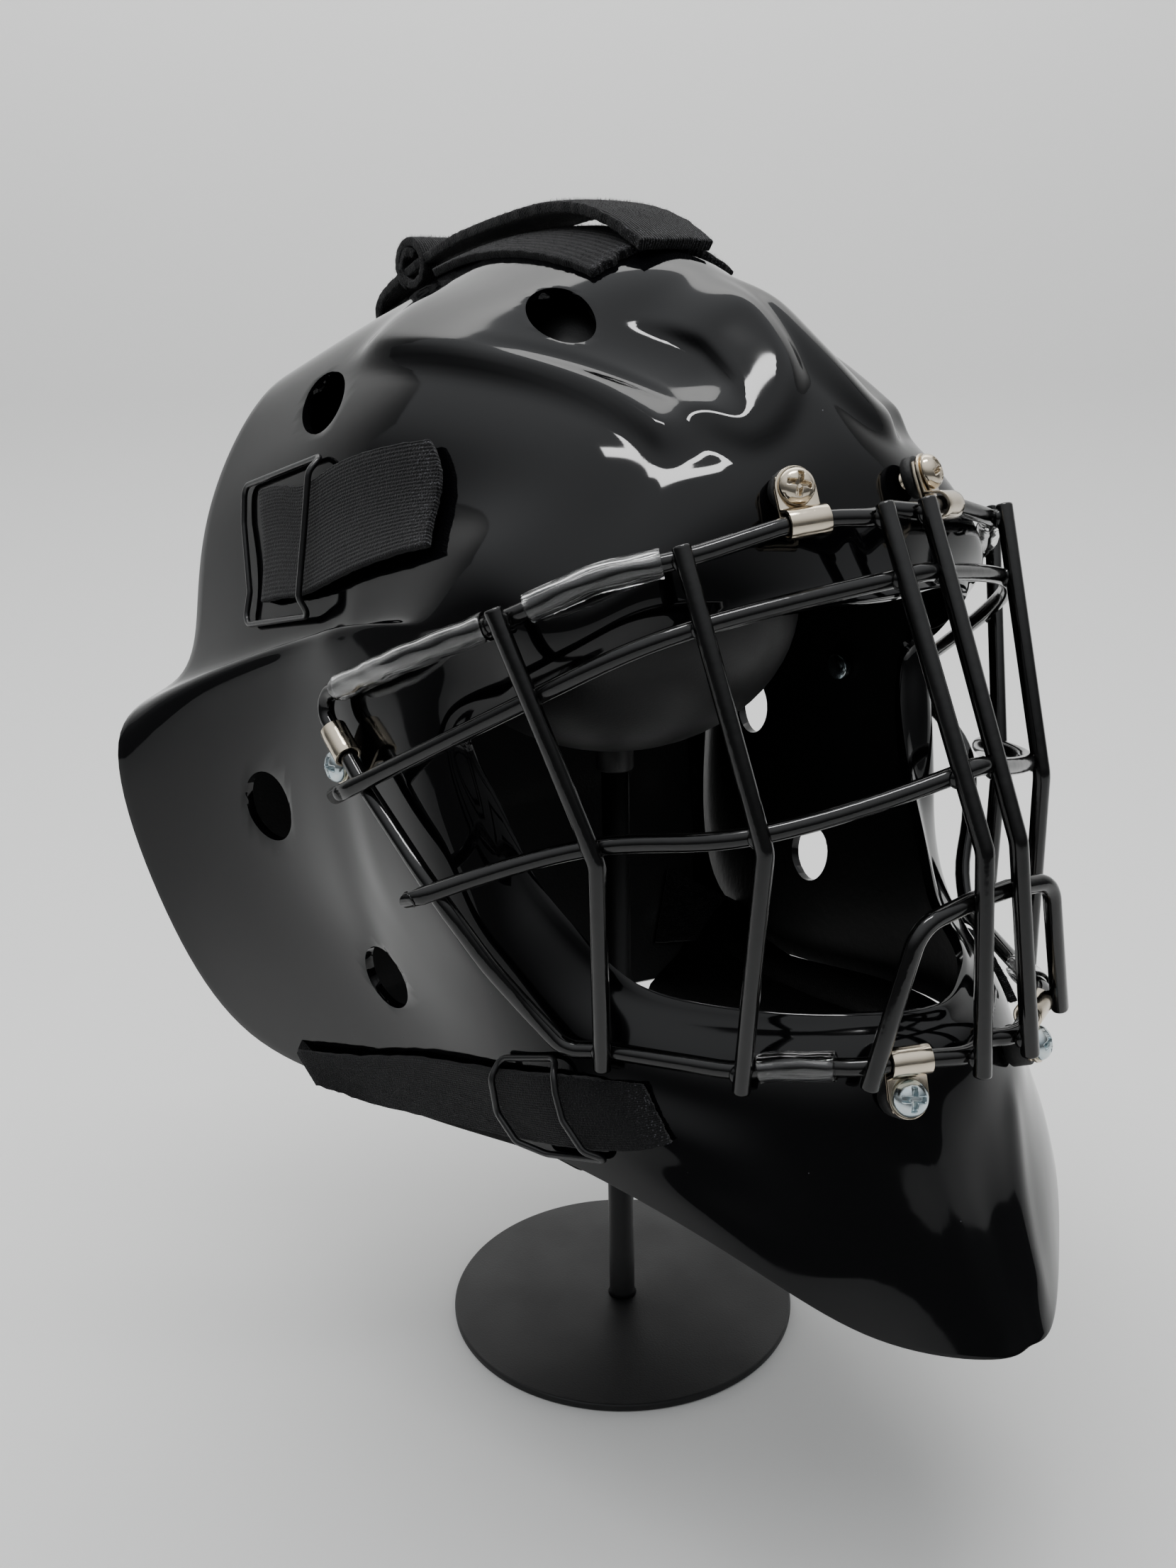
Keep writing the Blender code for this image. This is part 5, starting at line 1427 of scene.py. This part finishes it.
# %% The dished plate
table = [[plate_point(row.height, share) for share in np.linspace(-1, 1, 7)] for row in PLATE_ROWS]
fine = linked_rows(table, 96)
rows = []
for index, row in enumerate(fine):
    across = smooth_run([tuple(point) for point in row], 73)
    rib = 0.0009 * math.exp(-((index % 19 - 9) / 2.0) ** 2) if 10 < index < 86 else 0
    out_row = []
    for column, point in enumerate(across):
        side = abs(column - 36) / 36
        fade = eased((0.86 - side) / 0.12)
        out_row.append(Vector(point) + Vector((0, rib * float(fade), 0)))
    rows.append(out_row)
bm = sheet(rows)
plate = hand_over("nape_plate", bm, [plate_plastic], ["back_plate"])
wall(plate, PLATE_WALL, 0, even=False)
round_edges(plate, 0.0013, 3, 50)
modified(plate)
print("plate", len(plate.data.polygons), "faces")

# %% [markdown]
# ## A black foam sheet inside, as painted shade
#
# From outside only darkness is seen between the shell and the back plate. A sheet of black foam
# is put there as painted shade: it runs along the inside of the shell, behind the vents, to the
# edge of the plate, and stops light coming through, so the gap and the vents read dark. It is made
# as a grid between those two lines and given its thickness.

# %% Painted shade: black foam between the shell and the back plate
Tie = namedtuple("Tie", "station place inset drop plate_height plate_share")
TIES = [
    Tie(3.9, 5.70, 0.0100, 0.0100, 0.0, 0.90), Tie(4.6, 5.60, 0.0085, 0.0060, 3.5, 0.96), Tie(5.6, 5.60, 0.0060, 0.0, 9.0, 0.98),
    Tie(6.6, 5.60, 0.0055, 0.0, 17.0, 0.98), Tie(7.6, 5.60, 0.0055, 0.0, 30.0, 0.98), Tie(8.6, 5.60, 0.0055, 0.0, 44.0, 0.98),
    Tie(9.6, 5.70, 0.0055, 0.0, 56.0, 0.98), Tie(10.8, 5.75, 0.0055, 0.0, 68.0, 0.98), Tie(12.0, 5.75, 0.0055, 0.0, 79.0, 0.96),
    Tie(13.0, 5.75, 0.0055, 0.0, 85.0, 0.90), Tie(14.0, 5.75, 0.0055, 0.0, 87.5, 0.0),
]
FOAM_THICK = 0.0026
rows = []
for station, place, inset, drop, plate_height, plate_share in smooth_run([tuple(tie) for tie in TIES], 90):
    point, normal, _ = seat(station, place)
    start = point - normal * inset - Vector((0, 0, drop))
    end = plate_point(plate_height, plate_share) - Vector((0, PLATE_WALL / 2 * PLATE_SLANT + FOAM_THICK / 2 + STRAP_SEAT, 0))
    rows.append([start.lerp(end, step / 14) for step in range(15)])
half = sheet(rows)
# This sheet is painted shade: black foam that keeps light out of the gap behind the vents.
for side, bm in (("left", half), ("right", other_side(half))):
    shade_sheet = hand_over(side + "_shade_foam_sheet", bm, [foam])
    wall(shade_sheet, FOAM_THICK, 0, even=False)
    round_edges(shade_sheet, 0.0008, 2, 50)
    modified(shade_sheet)
print("shade_sheet", cloth_size(rows))

# %% Foam roll along the jaw
# The lower edge of the padding shows as a soft roll just inside the jaw's edge.
JAW_ROLL_RADIUS = 0.0068
JAW_ROLL = [
    (2.7, 5.7, 0.0130, 0.0), (3.2, 5.9, 0.0130, 0.001), (3.8, 6.0, 0.0130, 0.002), (4.4, 6.0, 0.0125, 0.002),
    (5.0, 6.0, 0.0120, 0.002), (5.6, 6.0, 0.0115, 0.001),
]
points = []
for station, place, inset, drop in JAW_ROLL:
    point, normal, _ = seat(station, place)
    points.append(point - normal * inset - Vector((0, 0, drop)))
run = [Vector(point) for point in smooth_run(points, 60)]
radii = [JAW_ROLL_RADIUS * min(1, 0.35 + 0.65 * min(index, 59 - index) / 6) for index in range(60)]
half = rod(run, radii)
for side, bm in (("left", half), ("right", other_side(half))):
    roll = hand_over(side + "_jaw_foam", bm, [foam])
print("jaw foam", round(sum((b - a).length for a, b in zip(run, run[1:])) * 1000), "mm long")

# %% [markdown]
# ## Display stand
#
# The stand is turned steel with a fine powder coat: a thin disc, a post and a dome that
# the crown rests on. Each is a profile spun about the post's axis.

# %% Turn the stand
DISC_RADIUS = 0.0605
DISC_THICK = 0.0027
POST_RADIUS = 0.0045
DOME_RADIUS = 0.0580
DOME_MID_Z = 0.2550
DOME_UNDER = 0.0460
COLLAR_RADIUS = 0.0062
COLLAR_HIGH = 0.0085
DOME_GAP = 0.0013
rounding = 0.0008
profile = [(0, 0), (DISC_RADIUS - rounding, 0)]
for step in range(1, 6):
    angle = math.radians(-90 + 18 * step)
    profile.append((DISC_RADIUS - rounding + rounding * math.cos(angle), rounding + rounding * math.sin(angle)))
for step in range(0, 6):
    angle = math.radians(18 * step)
    profile.append((DISC_RADIUS - rounding + rounding * math.cos(angle), DISC_THICK - rounding + rounding * math.sin(angle)))
profile.append((0, DISC_THICK))
hand_over("stand_foot", turned(profile, 160), [powder_coat], ["stand_disc"])
under = DOME_MID_Z - DOME_UNDER
profile = [(0, DISC_THICK + GAP), (POST_RADIUS + 0.0006, DISC_THICK + GAP), (POST_RADIUS, DISC_THICK + 0.0014)]
profile += [(POST_RADIUS, under - COLLAR_HIGH - GAP), (0, under - COLLAR_HIGH - GAP)]
post = hand_over("stand_pole", turned(profile, 48), [powder_coat], ["stand_post"])
crown = seat(LAST_STATION, 4.35)[0].z - SHELL_WALL - DOME_GAP
profile = [(0, under - COLLAR_HIGH), (COLLAR_RADIUS - 0.0006, under - COLLAR_HIGH), (COLLAR_RADIUS, under - COLLAR_HIGH + 0.0006)]
profile.append((COLLAR_RADIUS, under + 0.001))
for step in range(1, 16):
    angle = math.radians(-84 + step * 5.6)
    profile.append((DOME_RADIUS * math.cos(angle), DOME_MID_Z + DOME_UNDER * math.sin(angle)))
for step in range(1, 24):
    angle = math.radians(step * 90 / 24)
    profile.append((DOME_RADIUS * math.cos(angle), DOME_MID_Z + (crown - DOME_MID_Z) * math.sin(angle)))
profile.append((0, crown))
hand_over("stand_head", turned(profile, 96), [powder_coat], ["stand_dome"])
print("dome top", round(crown * 1000, 1), "mm")

# %% [markdown]
# ## Floor, backdrop and light
#
# The mask stands on a pale table in front of a pale wall, with no edge between them. The floor
# is one sheet that sweeps up behind the stand. The gloss shows whatever stands round it, so
# the lights matter as much as the material: a soft light from above and a dim even room.

# %% Floor and sweep
SWEEP_START = 0.16
SWEEP_RADIUS = 0.30
level_ahead = Vector((CAMERA_AHEAD.x, CAMERA_AHEAD.y, 0)).normalized()
level_side = Vector((level_ahead.y, -level_ahead.x, 0))
profile = [(-1.6, 0.0), (-0.8, 0.0), (-0.3, 0.0), (0.0, 0.0), (SWEEP_START, 0.0)]
for step in range(1, 25):
    angle = math.radians(90 * step / 24)
    profile.append((SWEEP_START + SWEEP_RADIUS * math.sin(angle), SWEEP_RADIUS * (1 - math.cos(angle))))
profile += [(SWEEP_START + SWEEP_RADIUS, 0.6), (SWEEP_START + SWEEP_RADIUS, 1.3)]
rows = [[level_ahead * ahead + level_side * side + Vector((0, 0, height)) for side in (-1.8, -0.6, 0.6, 1.8)] for ahead, height in profile]
floor_bm = sheet(rows)
floor_mesh = bpy.data.meshes.new("floor")
floor_bm.to_mesh(floor_mesh)
floor_bm.free()
floor_mesh.materials.append(floor_paper)
for face in floor_mesh.polygons:
    face.use_smooth = True
floor_sheet = bpy.data.objects.new("floor", floor_mesh)
bpy.context.scene.collection.objects.link(floor_sheet)
print("sweep behind the stand at", SWEEP_START, "m")


# %% Lights
def softbox(name, place, aim, width, height, power, for_gloss):
    """A rectangular light that faces a point, and is either mirrored in gloss or lights the rest."""
    data = bpy.data.lights.new(name, "AREA")
    data.shape = "RECTANGLE"
    data.size = width
    data.size_y = height
    data.energy = power
    light = bpy.data.objects.new(name, data)
    light.location = place
    light.rotation_euler = (Vector(aim) - Vector(place)).to_track_quat("-Z", "Y").to_euler()
    light.visible_glossy = for_gloss
    light.visible_diffuse = not for_gloss
    bpy.context.scene.collection.objects.link(light)
    return light


softbox("strip above", (-0.08, -0.12, 1.20), (0, 0, 0.25), 0.44, 0.09, 4.5, for_gloss=True)
softbox("wall wash", (0.02, 0.10, 1.25), (0.45, 0.62, 0.80), 1.2, 0.4, 24, for_gloss=False)
softbox("floor wash", (-0.30, -0.35, 1.30), (-0.05, -0.1, 0.0), 1.0, 0.8, 5, for_gloss=False)
world = bpy.data.worlds.new("room")
world.use_nodes = True
room = world.node_tree.nodes["Background"]
room.inputs["Color"].default_value = hex_colour("#b9bbbd")
sky_place = add_node(world, "ShaderNodeTexCoord").outputs["Generated"]
height = add_node(world, "ShaderNodeSeparateXYZ", {}, {"Vector": sky_place})
span = {"interpolation_type": "SMOOTHSTEP", "From Min": 0.05, "From Max": 0.95, "To Min": 0.22, "To Max": 2.3}
brightness = add_node(world, "ShaderNodeMapRange", span, {"Value": height.outputs["Z"]})
world.node_tree.links.new(brightness.outputs["Result"], room.inputs["Strength"])
bpy.context.scene.world = world
print("lights", len(bpy.data.lights))
